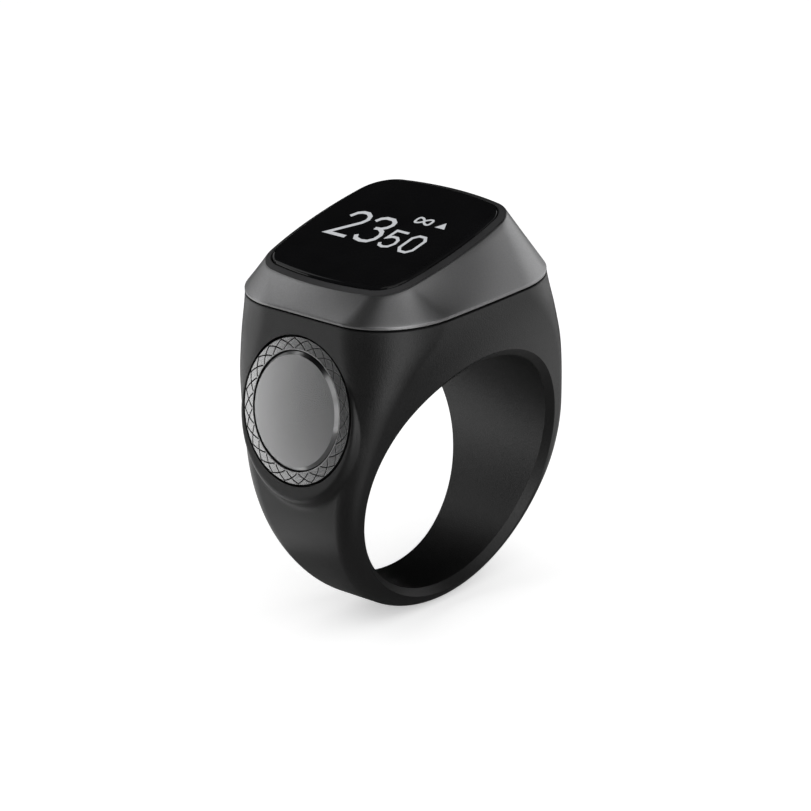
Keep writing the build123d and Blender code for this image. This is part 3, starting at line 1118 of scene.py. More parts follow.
def turned_solid(
    profile: list[tuple[float, float]], place: LocalFrame, steps: int = 128
) -> bpy.types.Object:
    """Makes a closed turned solid on a local frame.

    Args:
        profile: Radius and height of each point, from the bottom's edge to the top's.
        place: Frame whose out direction is the axis.
        steps: Number of points round the axis.

    Returns:
        The solid as an object.
    """
    rows = np.array([place.place(row) for row in turned_rows(profile, steps)])
    skin = Skin()
    skin.add_drum(rows)
    return new_object("turned_solid", skin.mesh("turned_solid"))


def block(low: Point, high: Point, place: LocalFrame) -> bpy.types.Object:
    """Makes a block on a local frame.

    Args:
        low: Its corner with the lowest coordinates.
        high: Its corner with the highest coordinates.
        place: Frame of the corners.

    Returns:
        The block as an object.
    """
    corners = np.array([(low[0], low[1]), (high[0], low[1]), (high[0], high[1]), (low[0], high[1])])
    rows = np.array([place.place(np.column_stack((corners, np.full(4, h)))) for h in (low[2], high[2])])
    skin = Skin()
    skin.add_drum(rows)
    return new_object("block", skin.mesh("block"))


@dataclass
class BodyHollows:
    """The hollows of the body: head cavity, button recess and contact holes; and its screw posts."""

    floor: float = 11.2
    seam: float = RingBody.seam
    cavity: Outline = Outline(8.7, 8.55, 0.25, 4.5)
    wall_depth: float = 2.3
    wall_top: float = 13.77
    wall_half: float = 11.0
    wall_rise: float = 3.0
    clear_half: float = 20.0
    clear_top: float = 40.0
    recess_radius: float = 5.92
    recess_depth: float = 0.6
    pocket_radius: float = 5.45
    pocket_depth: float = 1.45
    recess_steps: int = 192
    slot_half: float = 1.7
    slot_low: float = -1.4
    slot_high: float = 5.2
    slot_depth: float = 2.5
    contact_x: float = 1.3
    contact_y: float = -6.4
    contact_radius: float = 0.77
    contact_bottom: float = 5.0
    contact_top: float = 10.7
    contact_steps: int = 64
    pin_radius: float = 0.47
    post_x: float = 6.0
    post_y: float = 5.2
    post_radius: float = 1.1
    post_hole: float = 0.53
    post_top: float = 14.1
    post_root: float = 0.2
    post_steps: int = 48
    post_hole_steps: int = 32
    overrun: float = 1.0

    def upright(self, x: float, y: float) -> LocalFrame:
        """Gives a frame at the bore's height that points straight up."""
        return LocalFrame((x, y, 0.0), (1.0, 0.0, 0.0), (0.0, 1.0, 0.0), (0.0, 0.0, 1.0))

    def head_cavity(self) -> bpy.types.Object:
        """Makes the head's hollow, kept clear of the wall behind the button.

        Returns:
            The hollow as an object.
        """
        skin = Skin()
        heights = (self.floor, self.seam + self.overrun)
        skin.add_drum(np.array([self.cavity.level(height) for height in heights]))
        hollow = new_object("cavity", skin.mesh("cavity"))
        half, clear = self.wall_half, self.clear_half
        wall = block((-half, -half, -self.wall_depth), (half, half, self.wall_rise), button_frame())
        above = block(
            (-clear, -clear, self.wall_top), (clear, clear, self.clear_top), self.upright(0.0, 0.0)
        )
        carve(wall, above, Carving.CUT)
        carve(hollow, wall, Carving.CUT)
        return hollow

    def cutters(self) -> list[bpy.types.Object]:
        """Makes every shape that is cut from the body.

        Returns:
            The shapes, in the order in which they are cut.
        """
        button = button_frame()
        recess = turned_solid(
            [
                (self.pocket_radius, -self.pocket_depth),
                (self.pocket_radius, -self.recess_depth),
                (self.recess_radius, -self.recess_depth),
                (self.recess_radius, self.overrun),
            ],
            button,
            self.recess_steps,
        )
        slot = block(
            (-self.slot_half, self.slot_low, -self.slot_depth), (self.slot_half, self.slot_high, 0.0), button
        )
        shapes = [self.head_cavity(), recess, slot]
        for side in (-1.0, 1.0):
            hole = [
                (self.contact_radius, self.contact_bottom),
                (self.contact_radius, self.contact_top),
                (self.pin_radius, self.contact_top),
                (self.pin_radius, self.floor + self.overrun),
            ]
            place = self.upright(side * self.contact_x, self.contact_y)
            shapes.append(turned_solid(hole, place, self.contact_steps))
        return shapes

    def posts(self) -> list[bpy.types.Object]:
        """Makes the four screw posts on the cavity's floor.

        Returns:
            The posts, each with its hole.
        """
        outside = [(self.post_radius, self.floor - self.post_root), (self.post_radius, self.post_top)]
        inside = [(self.post_hole, self.floor), (self.post_hole, self.post_top + self.overrun)]
        shapes = []
        for x in (-self.post_x, self.post_x):
            for y in (-self.post_y, self.post_y):
                post = turned_solid(outside, self.upright(x, y), self.post_steps)
                hole = turned_solid(inside, self.upright(x, y), self.post_hole_steps)
                carve(post, hole, Carving.CUT)
                shapes.append(post)
        return shapes


@dataclass
class DisplayHead:
    """The bezel and the cover lens."""

    seam_outline: Outline = Outline(
        RingBody.head_half_x, RingBody.half_widths[-1], RingBody.head_crown, RingBody.head_rounding
    )
    lip_bottom: float = 14.87
    lip_top: float = 15.12
    lip_edge: float = 0.05
    lip_round: float = 0.08
    lip_bends: tuple[tuple[float, float], ...] = ((0.0, 0.4), (0.35, 0.1))
    lip_zone: float = 0.2
    skirt_bottom: float = 13.85
    skirt_inset: float = 1.58
    skirt_wall: float = 0.75
    top_outline: Outline = Outline(8.07, 8.15, 0.88, 3.1, 0.88)
    top_edge: float = 0.1
    rim_drop: float = 0.24
    rim_land: float = 0.08
    rim_zone: float = 0.03
    slope_rows: int = 10
    bezel_sharp_angle: float = 24.0
    lens_outline: Outline = Outline(7.41, 7.46, 0.75, 2.4, 0.75)
    lens_gap: float = 0.06
    pocket_edge: float = 0.03
    seat_depth: float = 0.75
    ledge_width: float = 0.6
    ledge_thickness: float = 0.6
    ledge_relief: float = 0.3
    lens_rise: float = 0.22
    lens_depth: float = 0.65
    lens_edge: float = 0.33
    lens_edge_steps: int = 10
    lens_margins: tuple[float, ...] = (0.06, 0.2, 0.5)

    def tilted(self, outline: Outline, height: float) -> np.ndarray:
        """Gives an outline on the tilted top, raised by a height."""
        return display_frame().place(outline.level(height))

    def bezel(self) -> bpy.types.Object:
        """Makes the bezel ring from outlines that run round its wall.

        Returns:
            The bezel as an object, with its zones marked.
        """
        seam, top, lens = self.seam_outline, self.top_outline, self.lens_outline
        lip = seam.level(self.lip_top)
        pocket = lens.grown(self.lens_gap)
        crest = self.tilted(top, -self.rim_drop)
        brow = self.tilted(pocket.grown(self.rim_land), 0.0)
        rows = [
            seam.grown(-self.skirt_inset - self.skirt_wall).level(self.skirt_bottom),
            seam.grown(-self.skirt_inset).level(self.skirt_bottom),
            seam.grown(-self.skirt_inset).level(self.lip_bottom),
            seam.grown(-self.lip_edge).level(self.lip_bottom),
            seam.level(self.lip_bottom + self.lip_edge),
        ]
        run = np.linalg.norm(crest - lip, axis=1, keepdims=True)
        low, high = self.lip_round / run, 1.0 - self.top_edge / run
        for inwards, down in self.lip_bends:
            rows.append(lip + (crest - lip) * low * inwards - (0.0, 0.0, down * self.lip_round))
        for share in np.linspace(0.0, 1.0, self.slope_rows + 1):
            rows.append(lip + (crest - lip) * (low + (high - low) * share))
        rim_run = np.linalg.norm(brow - crest, axis=1, keepdims=True)
        inner = crest + (brow - crest) * np.minimum(self.top_edge / rim_run, 0.5)
        # The rounded crest passes halfway between its chord and the sharp edge.
        rows.append((rows[-1] + inner) * 0.25 + crest * 0.5)
        ledge = -self.seat_depth - self.ledge_thickness
        rows += [
            inner,
            brow,
            self.tilted(pocket.grown(self.pocket_edge), 0.0),
            self.tilted(pocket, -self.pocket_edge),
            self.tilted(pocket, -self.seat_depth),
            self.tilted(lens.grown(-self.ledge_width), -self.seat_depth),
            self.tilted(lens.grown(-self.ledge_width), ledge),
            self.tilted(lens.grown(self.ledge_relief - self.ledge_width), ledge),
            seam.grown(-self.skirt_inset - self.skirt_wall).level(self.lip_top),
            rows[0],
        ]
        skin = Skin()
        skin.add_rows(np.array(rows), wrap=True)
        piece = new_object("display_bezel", skin.mesh("display_bezel"))
        shade(piece, self.bezel_sharp_angle)
        centres = face_centres(piece)
        height = centres[:, 2]
        on_rim = display_frame().local(centres)[:, 2] > self.rim_zone - self.rim_drop
        on_lip = (height > self.lip_bottom) & (height < self.lip_top - self.lip_zone * self.lip_round)
        zones = np.where(on_lip, BezelZone.LIP, BezelZone.WALL)
        set_zones(piece, np.where(on_rim, BezelZone.RIM, zones))
        return piece

    def lens(self) -> bpy.types.Object:
        """Makes the cover lens with its softly rounded edge.

        Returns:
            The lens as an object.
        """
        outline = self.lens_outline
        rows = [self.tilted(outline, -self.lens_depth)]
        for turn in np.linspace(0.0, pi / 2.0, self.lens_edge_steps + 1):
            inset, drop = self.lens_edge * (1.0 - cos(turn)), self.lens_edge * (1.0 - sin(turn))
            rows.append(self.tilted(outline.grown(-inset), self.lens_rise - drop))
        for margin in self.lens_margins:
            rows.append(self.tilted(outline.grown(-self.lens_edge - margin), self.lens_rise))
        skin = Skin()
        skin.add_drum(np.array(rows))
        piece = new_object("display_lens", skin.mesh("display_lens"))
        shade(piece)
        return piece


@dataclass(frozen=True)
class Stroke:
    """One drawn line of a figure, with its points as shares of the figure's cell."""

    shares: tuple[tuple[float, float], ...]
    closed: bool = False


@dataclass(frozen=True)
class Figure:
    """A lit figure: a cell on the display and the lines drawn in it."""

    left: float
    bottom: float
    width: float
    height: float
    line: float
    strokes: tuple[Stroke, ...]
    filled: bool = False


def loop_shares(steps: int = 48, fullness: float = 0.7) -> tuple[tuple[float, float], ...]:
    """Draws the crossing loop of the endless-count sign.

    Args:
        steps: Number of points round the loop.
        fullness: Power of its swing, which is rounder below 1.

    Returns:
        The points as shares of the sign's cell.
    """
    turns = [2.0 * pi * (step + 0.5) / steps for step in range(steps)]
    swings = [sin(2.0 * turn) for turn in turns]
    rises = [copysign(abs(swing) ** fullness, swing) for swing in swings]
    return tuple((0.5 + 0.5 * sin(turn), 0.5 + 0.5 * rise) for turn, rise in zip(turns, rises))


@dataclass
class LitFigures:
    """The count, the smaller count, and the two signs above it."""

    lens_rise: float = DisplayHead.lens_rise
    thickness: float = 0.012
    sink: float = 0.004
    big_line: float = 0.36
    small_line: float = 0.27
    sign_line: float = 0.2
    mitre_floor: float = 0.3
    mitre_limit: float = 2.4
    weld: float = 0.0005

    def levels(self) -> tuple[float, float]:
        """Gives the heights of the figures' undersides and tops."""
        return self.lens_rise - self.sink, self.lens_rise + self.thickness

    def figures(self) -> list[Figure]:
        """Lists what is lit on the display.

        Returns:
            The figures, with their cells in millimetres from the display's centre.
        """
        two = Stroke(
            (
                (0.03, 0.76), (0.17, 0.93), (0.38, 1.0), (0.64, 1.0), (0.88, 0.91),
                (0.97, 0.77), (0.88, 0.62), (0.0, 0.0), (1.0, 0.0),
            )
        )
        three_upper = Stroke(
            (
                (0.02, 0.8), (0.12, 0.93), (0.31, 1.0), (0.67, 1.0), (0.87, 0.91),
                (0.92, 0.8), (0.84, 0.67), (0.65, 0.57), (0.38, 0.55),
            )
        )
        three_lower = Stroke(
            (
                (0.6, 0.57), (0.87, 0.48), (0.99, 0.35), (0.97, 0.17), (0.77, 0.03),
                (0.48, 0.0), (0.17, 0.04), (0.02, 0.17),
            )
        )
        five = Stroke(
            (
                (0.98, 1.0), (0.06, 1.0), (0.02, 0.52), (0.32, 0.63), (0.66, 0.63), (0.93, 0.5),
                (1.0, 0.29), (0.81, 0.07), (0.47, 0.0), (0.14, 0.05), (0.0, 0.18),
            )
        )
        nought = Stroke(
            (
                (0.0, 0.81), (0.27, 1.0), (0.73, 1.0), (1.0, 0.81),
                (1.0, 0.19), (0.73, 0.0), (0.27, 0.0), (0.0, 0.19),
            ),
            closed=True,
        )
        loop = Stroke(loop_shares(), closed=True)
        peak = Stroke(((0.0, 0.0), (0.5, 1.0), (1.0, 0.0)), closed=True)
        return [
            Figure(-4.59, -1.79, 2.03, 3.5, self.big_line, (two,)),
            Figure(-1.91, -1.79, 2.08, 3.5, self.big_line, (three_upper, three_lower)),
            Figure(0.91, -1.83, 1.34, 2.36, self.small_line, (five,)),
            Figure(3.02, -1.83, 1.38, 2.36, self.small_line, (nought,)),
            Figure(1.27, 2.11, 1.56, 0.76, self.sign_line, (loop,)),
            Figure(3.57, 2.1, 1.0, 0.82, self.sign_line, (peak,), filled=True),
        ]

    def ribbon(self, path: np.ndarray, line: float, closed: bool) -> np.ndarray:
        """Widens a path to a thin flat ribbon.

        Args:
            path: Points to the right and up on the display.
            line: Width of the ribbon.
            closed: Whether the path closes on itself.

        Returns:
            Four points round the ribbon for each point of the path.
        """
        before, after = np.roll(path, 1, axis=0), np.roll(path, -1, axis=0)
        if not closed:
            before[0], after[-1] = 2.0 * path[0] - path[1], 2.0 * path[-1] - path[-2]
        start = (path - before) / np.linalg.norm(path - before, axis=1, keepdims=True)
        end = (after - path) / np.linalg.norm(after - path, axis=1, keepdims=True)
        mitre = start + end
        mitre /= np.linalg.norm(mitre, axis=1, keepdims=True)
        bend = np.maximum(np.sum(mitre * end, axis=1), self.mitre_floor)
        stretch = np.minimum(1.0 / bend, self.mitre_limit)
        offset = np.stack((-mitre[:, 1], mitre[:, 0]), axis=-1) * (stretch * line / 2.0)[:, None]
        base, top = self.levels()
        rounds = []
        for side, height in ((1.0, base), (1.0, top), (-1.0, top), (-1.0, base)):
            spot = path + side * offset
            rounds.append(np.column_stack((spot[:, 1], -spot[:, 0], np.full(len(path), height))))
        return np.stack(rounds, axis=1)

    def add_plate(self, skin: Skin, path: np.ndarray) -> None:
        """Adds a filled figure as a thin plate.

        Args:
            skin: The skin being built.
            path: Its outline, to the right and up on the display.
        """
        rounds = [
            np.column_stack((path[:, 1], -path[:, 0], np.full(len(path), level))) for level in self.levels()
        ]
        skin.add_drum(np.array([display_frame().place(row) for row in rounds]))

    def build(self) -> bpy.types.Object:
        """Makes the lit figures as one thin mesh on the lens.

        Returns:
            The figures as an object.
        """
        skin = Skin()
        for figure in self.figures():
            for stroke in figure.strokes:
                shares = np.array(stroke.shares)
                path = shares * (figure.width, figure.height) + (figure.left, figure.bottom)
                if figure.filled:
                    self.add_plate(skin, path)
                    continue
                rows = display_frame().place(
                    self.ribbon(path, figure.line, stroke.closed).reshape(-1, 3)
                ).reshape(-1, 4, 3)
                if stroke.closed:
                    rows = np.concatenate((rows, rows[:1]))
                else:
                    skin.add_lid(rows[0])
                    skin.add_lid(rows[-1])
                skin.add_rows(rows, wrap=True)
        return new_object("lit_figures", skin.mesh("lit_figures", self.weld))


class WedgeWheel:
    """A Geometry Nodes tree that repeats a wedge round its axis and welds the wheel."""

    def __init__(self, name: str) -> None:
        """Builds the tree.

        Args:
            name: Name of the tree.
        """
        self.tree = bpy.data.node_groups.new(name, "GeometryNodeTree")
        interface = self.tree.interface
        interface.new_socket("Wedge", in_out="INPUT", socket_type="NodeSocketGeometry")
        self.count = interface.new_socket("Count", in_out="INPUT", socket_type="NodeSocketInt")
        self.weld = interface.new_socket("Weld", in_out="INPUT", socket_type="NodeSocketFloat")
        self.finish = interface.new_socket("Finish", in_out="INPUT", socket_type="NodeSocketMaterial")
        interface.new_socket("Wheel", in_out="OUTPUT", socket_type="NodeSocketGeometry")
        nodes = self.tree.nodes
        source = nodes.new("NodeGroupInput")
        result = nodes.new("NodeGroupOutput")
        points = nodes.new("GeometryNodePoints")
        index = nodes.new("GeometryNodeInputIndex")
        share = nodes.new("ShaderNodeMath")
        share.operation = "DIVIDE"
        turn = nodes.new("ShaderNodeMath")
        turn.operation = "MULTIPLY"
        turn.inputs[1].default_value = 2.0 * pi
        euler = nodes.new("ShaderNodeCombineXYZ")
        rotation = nodes.new("FunctionNodeEulerToRotation")
        copies = nodes.new("GeometryNodeInstanceOnPoints")
        realize = nodes.new("GeometryNodeRealizeInstances")
        merge = nodes.new("GeometryNodeMergeByDistance")
        material = nodes.new("GeometryNodeSetMaterial")
        for giver, output, taker, entry in (
            (source, "Count", points, "Count"),
            (index, "Index", share, 0),
            (source, "Count", share, 1),
            (share, "Value", turn, 0),
            (turn, "Value", euler, "Z"),
            (euler, "Vector", rotation, "Euler"),
            (points, "Points", copies, "Points"),
            (source, "Wedge", copies, "Instance"),
            (rotation, "Rotation", copies, "Rotation"),
            (copies, "Instances", realize, "Geometry"),
            (realize, "Geometry", merge, "Geometry"),
            (source, "Weld", merge, "Distance"),
            (merge, "Geometry", material, "Geometry"),
            (source, "Finish", material, "Material"),
            (material, "Geometry", result, "Wheel"),
        ):
            self.tree.links.new(giver.outputs[output], taker.inputs[entry])

    def spin(
        self, wedge: bpy.types.Object, count: int, weld: float, finish: bpy.types.Material, name: str
    ) -> bpy.types.Object:
        """Repeats a wedge and gives the wheel as a plain mesh.

        Args:
            wedge: The wedge, which is deleted afterwards.
            count: Number of wedges in the wheel.
            weld: Distance in millimetres under which the wedges' points merge.
            finish: Material of the wheel.
            name: Name of the new piece.

        Returns:
            The wheel as an object at the origin.
        """
        modifier = wedge.modifiers.new("wheel", "NODES")
        modifier.node_group = self.tree
        modifier[self.count.identifier] = count
        modifier[self.weld.identifier] = weld * MM
        modifier[self.finish.identifier] = finish
        mesh = evaluated_mesh(wedge)
        discard(wedge)
        mesh.name = name
        return new_object(name, mesh)


@dataclass
class SideButton:
    """The press button: a bevelled metal cap inside a patterned trim ring."""

    cap_radius: float = 4.64
    cap_rise: float = 0.3
    cap_depth: float = 0.25
    cap_foot_edge: float = 0.03
    bevel_width: float = 0.27
    bevel_height: float = 0.28
    face_dome: float = 0.045
    face_rows: int = 24
    face_hub: float = 0.02
    cap_steps: int = 192
    cap_sharp_angle: float = 20.0
    trim_inner: float = 4.72
    trim_outer: float = 5.8
    trim_rise: float = 0.06
    trim_depth: float = 0.6
    trim_edge: float = 0.05
    trim_edge_cut: float = 0.3
    trim_fall: float = 0.05
    trim_weld: float = 0.002
    trim_sharp_angle: float = 50.0
    arches: int = 24
    arch_turn: float = -0.38
    arch_peak: float = 0.9
    arch_bend: tuple[float, float] = (0.54, 0.52)
    arch_foot: tuple[float, float] = (0.92, 0.1)
    arch_steps: int = 60
    cut_width: float = 0.11
    cut_depth: float = 0.015
    cut_floor: float = 0.3
    cut_slope: float = 0.5
    ink_solid: float = 0.9
    ink_fade: float = 0.4
    # Width of the painted gap shade along the trim's outer border.
    gap_shade_width: float = 0.05
    wedge_steps: int = 52
    band_steps: int = 52

    def pitch(self) -> float:
        """Gives the angle from one arch to the next."""
        return 2.0 * pi / self.arches

    def cap(self) -> bpy.types.Object:
        """Makes the cap with a faintly domed face and a bright bevel.

        Returns:
            The cap as an object, with its zones marked.
        """
        rim = self.cap_radius - self.bevel_width
        profile = [
            (self.cap_radius - self.cap_foot_edge, -self.cap_depth),
            (self.cap_radius, -self.cap_depth + self.cap_foot_edge),
            (self.cap_radius, self.cap_rise - self.bevel_height),
        ]
        for share in np.linspace(1.0, self.face_hub, self.face_rows):
            profile.append((rim * share, self.cap_rise - self.face_dome * share**2))
        piece = turned_solid(profile, button_frame(), self.cap_steps)
        piece.name = piece.data.name = "press_cap"
        shade(piece, self.cap_sharp_angle)
        local = button_frame().local(face_centres(piece))
        on_bevel = np.hypot(local[:, 0], local[:, 1]) > rim
        set_zones(piece, np.where(on_bevel, CapZone.BEVEL, CapZone.FACE))
        return piece

    def arch_leg(self) -> np.ndarray:
        """Draws one leg of an arch, bent from its peak to its foot.

        Returns:
            Points of the leg, in pitches from the peak and in shares of the ring's width.
        """
        peak = np.array((0.0, self.arch_peak))
        bend, foot = np.array(self.arch_bend), np.array(self.arch_foot)
        step = np.linspace(0.0, 1.0, self.arch_steps + 1)[:, None]
        return (1 - step) ** 2 * peak + 2 * step * (1 - step) * bend + step**2 * foot

    def on_ring(self, turn: np.ndarray, share: np.ndarray) -> np.ndarray:
        """Gives the flat places of points on the ring.

        Args:
            turn: Angle of each point, in pitches.
            share: Place of each point across the ring's width.

        Returns:
            The places in millimetres from the button's axis.
        """
        angle = turn * self.pitch()
        radius = self.trim_inner + share * (self.trim_outer - self.trim_inner)
        return np.stack((radius * np.cos(angle), radius * np.sin(angle)), axis=-1)

    def leg_distance(self, turn: np.ndarray, share: np.ndarray) -> np.ndarray:
        """Gives the distance from points of a wedge to the nearest arch line.

        Args:
            turn: Angle of each point, in pitches from an arch's peak.
            share: Place of each point across the ring's width.

        Returns:
            Distances in millimetres.
        """
        leg = self.arch_leg()
        spot = self.on_ring(turn, share)
        nearest = np.full(turn.shape, np.inf)
        for peak, side in ((0.0, 1.0), (1.0, -1.0), (1.0, 1.0), (0.0, -1.0)):
            line = self.on_ring(peak + side * leg[:, 0], leg[:, 1])
            first, run = line[:-1], line[1:] - line[:-1]
            offset = spot[..., None, :] - first
            along = np.clip(np.sum(offset * run, axis=-1) / np.sum(run * run, axis=-1), 0.0, 1.0)
            gap = np.linalg.norm(offset - along[..., None] * run, axis=-1).min(axis=-1)
            nearest = np.minimum(nearest, gap)
        return nearest

    def wedge(self) -> bpy.types.Object:
        """Makes one pitch of the trim ring, with its arch lines cut in and marked for ink, and its edges,
        walls and outer border marked for painted gap shade.

        Returns:
            The wedge as an object, open where it meets its neighbours.
        """
        width = self.trim_outer - self.trim_inner
        turn = np.linspace(0.0, 1.0, self.wedge_steps + 1)
        turns, shares = np.meshgrid(turn, np.linspace(0.0, 1.0, self.band_steps + 1))
        gap = self.leg_distance(turns, shares)
        half = self.cut_width / 2.0
        cut = 1.0 - smooth_step((gap - self.cut_floor * half) / (self.cut_slope * half))
        ink_and_shade = 1.0 - smooth_step((gap - self.ink_solid * half) / (self.ink_fade * half))
        # The outer border band is painted shade of the gap round the trim, in the ink's black.
        ink_and_shade = np.maximum(ink_and_shade, shares > 1.0 - self.gap_shade_width / width)
        inner, outer, edge = self.trim_inner, self.trim_outer, self.trim_edge
        radius = inner + edge + shares * width * (1 - 2 * edge / width)
        height = self.trim_rise + self.trim_fall * (0.5 - shares) - self.cut_depth * cut
        angle, angles = turn * self.pitch(), turns * self.pitch()

        def band(radius_at: float, height_at: float) -> np.ndarray:
            """Gives one plain row of the wedge at a radius and height."""
            flat = (radius_at * np.cos(angle), radius_at * np.sin(angle))
            return np.stack((*flat, np.full(len(turn), height_at)), axis=-1)

        face = np.stack((radius * np.cos(angles), radius * np.sin(angles), height), axis=-1)
        high, low = self.trim_rise + self.trim_fall / 2.0, self.trim_rise - self.trim_fall / 2.0
        nick = self.trim_edge_cut * edge
        before = [
            band(inner, -self.trim_depth),
            band(inner, high - edge),
            band(inner + nick, high - nick),
        ]
        after = [
            band(outer - nick, low - nick),
            band(outer, low - edge),
            band(outer, -self.trim_depth),
        ]
        skin = Skin()
        skin.add_rows(np.array([*before, *face, *after, before[0]]))
        # The edges and walls are painted black as the shade of the gaps beside the cap and the recess.
        gap_shade = np.ones((len(before), len(turn)))
        marks = np.concatenate((gap_shade, ink_and_shade, gap_shade, gap_shade[:1]))
        mesh = skin.raw_mesh("trim_wedge")
        store = mesh.attributes.new(INK_AND_SHADE_MARKS, "FLOAT", "POINT")
        store.data.foreach_set("value", marks.reshape(-1).astype(np.float32))
        return new_object("trim_wedge", mesh)

    def trim(self, finish: bpy.types.Material) -> bpy.types.Object:
        """Makes the patterned trim ring from its wedge.

        Args:
            finish: Material of the ring.

        Returns:
            The ring, placed on the body.
        """
        wheel = WedgeWheel("arch_wheel")
        piece = wheel.spin(self.wedge(), self.arches, self.trim_weld, finish, "pattern_trim")
        weld_mesh(piece.data, self.trim_weld)
        turn = Matrix.Rotation(self.arch_turn * self.pitch(), 4, "Z")
        piece.data.transform(button_frame().matrix() @ turn)
        shade(piece, self.trim_sharp_angle)
        return piece


class Wardrobe:
    """The finishes of every piece."""

    body = Moulding(
        "matt_black_moulding",
        (0.0035, 0.0035, 0.0036),
        roughness=0.37,
        grain=0.09,
        grain_depth=0.03,
        specular=0.62,
    )
    bezel = Metal("satin_gunmetal", (0.4, 0.4, 0.405), roughness=0.39, grain=0.1, variation=0.06)
    rim = Moulding("charcoal_rim", (0.03, 0.03, 0.031), roughness=0.6, grain_depth=0.004, specular=0.5)
    lip = Metal("polished_lip", (0.3, 0.3, 0.303), roughness=0.4, grain=0.1, variation=0.04)
    lens = BlackGlass("black_cover_glass", (0.006, 0.006, 0.0064))
    figures = LitPixels("lit_pixels", (0.9, 0.92, 0.95), 0.62)
    cap = Metal(
        "satin_cap_steel",
        (0.81, 0.81, 0.815),
        roughness=0.27,
        grain=0.16,
        stretch=(1.0, 1.0, 0.05),
        grain_depth=0.0,
        variation=0.03,
        octaves=1.0,
        roughness_spread=0.002,
    )
    bevel = Metal(
        "polished_cap_bevel",
        (0.44, 0.44, 0.444),
        roughness=0.22,
        grain=0.3,
        grain_depth=0.0,
        variation=0.03,
        octaves=1.0,
        roughness_spread=0.01,
    )
    # Its black marks are the inked cut lines and painted shade of the gaps round the trim.
    trim = EngravedMetal("engraved_trim_metal", (0.74, 0.74, 0.745))
    inside: dict[str, Moulding | Metal | BlackGlass] = {
        "bezel_gasket": Moulding("black_silicone", (0.008, 0.008, 0.008), 0.7, 0.3, 0.006),
        "lens_adhesive": Moulding("adhesive_film", (0.012, 0.012, 0.012), 0.6, 0.4, 0.004),
        "display_panel": BlackGlass("display_glass", (0.012, 0.012, 0.016), 0.12),
        "display_flex": Moulding("amber_flex", (0.32, 0.14, 0.03), 0.35, 0.5, 0.004, 2.0),
        "flex_connector": Moulding("ivory_moulding", (0.7, 0.67, 0.58), 0.5, 0.12, 0.005, 1.5),
        "main_board": Moulding("green_solder_mask", (0.015, 0.09, 0.04), 0.3, 0.35, 0.006, 1.2, 0.3),
        "processor_chip": Moulding("black_epoxy", (0.015, 0.015, 0.016), 0.55, 0.08, 0.006, 1.0),
        "power_chip": Moulding("black_epoxy_small", (0.018, 0.018, 0.018), 0.5, 0.07, 0.006, 1.0),
        "clock_crystal": Metal("crystal_can", (0.66, 0.65, 0.63), 0.28, 0.2),
        "chip_antenna": Moulding("white_ceramic", (0.72, 0.72, 0.7), 0.4, 0.1, 0.004, 0.8),
        "board_capacitors": Moulding("tan_ceramic", (0.36, 0.24, 0.15), 0.45, 0.08, 0.004, 0.5, 0.2),
        "board_screws": Metal("screw_steel", (0.56, 0.56, 0.57), 0.3, 0.15, (1.0, 1.0, 0.3)),
        "battery": Metal("foil_pouch", (0.62, 0.63, 0.65), 0.34, 0.8, (1.0, 1.0, 1.0), 0.03),
        "battery_pad": Moulding("foam_tape", (0.03, 0.03, 0.03), 0.85, 0.15, 0.02),
        "battery_tabs": Metal("nickel_strip", (0.7, 0.68, 0.64), 0.3, 0.2, (0.2, 1.0, 1.0)),
        "vibration_motor": Metal("motor_can", (0.6, 0.6, 0.61), 0.25, 0.2),
        "motor_pad": Moulding("motor_tape", (0.03, 0.03, 0.032), 0.85, 0.15, 0.02),
        "charging_contacts": Metal("gold_plate", (0.83, 0.6, 0.24), 0.22, 0.15),
        "contact_seals": Moulding("seal_silicone", (0.02, 0.02, 0.02), 0.7, 0.2, 0.006),
        "charging_magnets": Metal("nickel_magnet", (0.64, 0.63, 0.62), 0.2, 0.3),
        "button_plunger": Moulding("plunger_moulding", (0.02, 0.02, 0.021), 0.5, 0.15),
        "button_seal": Moulding("button_silicone", (0.006, 0.006, 0.006), 0.7, 0.2, 0.006),
        "switch_housing": Moulding("switch_moulding", (0.03, 0.03, 0.032), 0.5, 0.12),
        "switch_actuator": Moulding("actuator_moulding", (0.5, 0.47, 0.4), 0.45, 0.1),
        "switch_flex": Moulding("switch_flex_amber", (0.3, 0.13, 0.03), 0.35, 0.5, 0.004, 2.0),
    }

    def dress_inside(self, nodes: dict[str, bpy.types.Object]) -> None:
        """Gives each CAD node that stays its finish.

        Args:
            nodes: The CAD nodes by name.
        """
        for name, finish in self.inside.items():
            nodes[name].data.materials.clear()
            nodes[name].data.materials.append(finish.material())
            LOG.info("%s dressed in %s", name, finish.name)


@dataclass(frozen=True)
class Softbox:
    """An upright lamp that faces the ring, at a bearing from the camera's side."""

    name: str
    bearing: float
    bottom: float
    top: float
    width: float
    brightness: float
    radius: float = 110.0


@dataclass(frozen=True)
class Screen:
    """A curved screen round the ring, dark or light, that is seen only in its gloss."""

    name: str
    start: float
    end: float
    radius: float
    bottom: float
    top: float
    tone: float
    top_radius: float


def floor_screen(
    name: str, start: float, end: float, inner: float, outer: float, tone: float, height: float = -11.6
) -> Screen:
    """Gives a screen that lies just above the floor.

    Args:
        name: Name of the screen.
        start: Bearing at which it starts.
        end: Bearing at which it ends.
        inner: Its radius nearest to the ring.
        outer: Its radius farthest from the ring.
        tone: Its grey.
        height: Its height.

    Returns:
        The flat screen.
    """
    return Screen(name, start, end, inner, height, height, tone, outer)


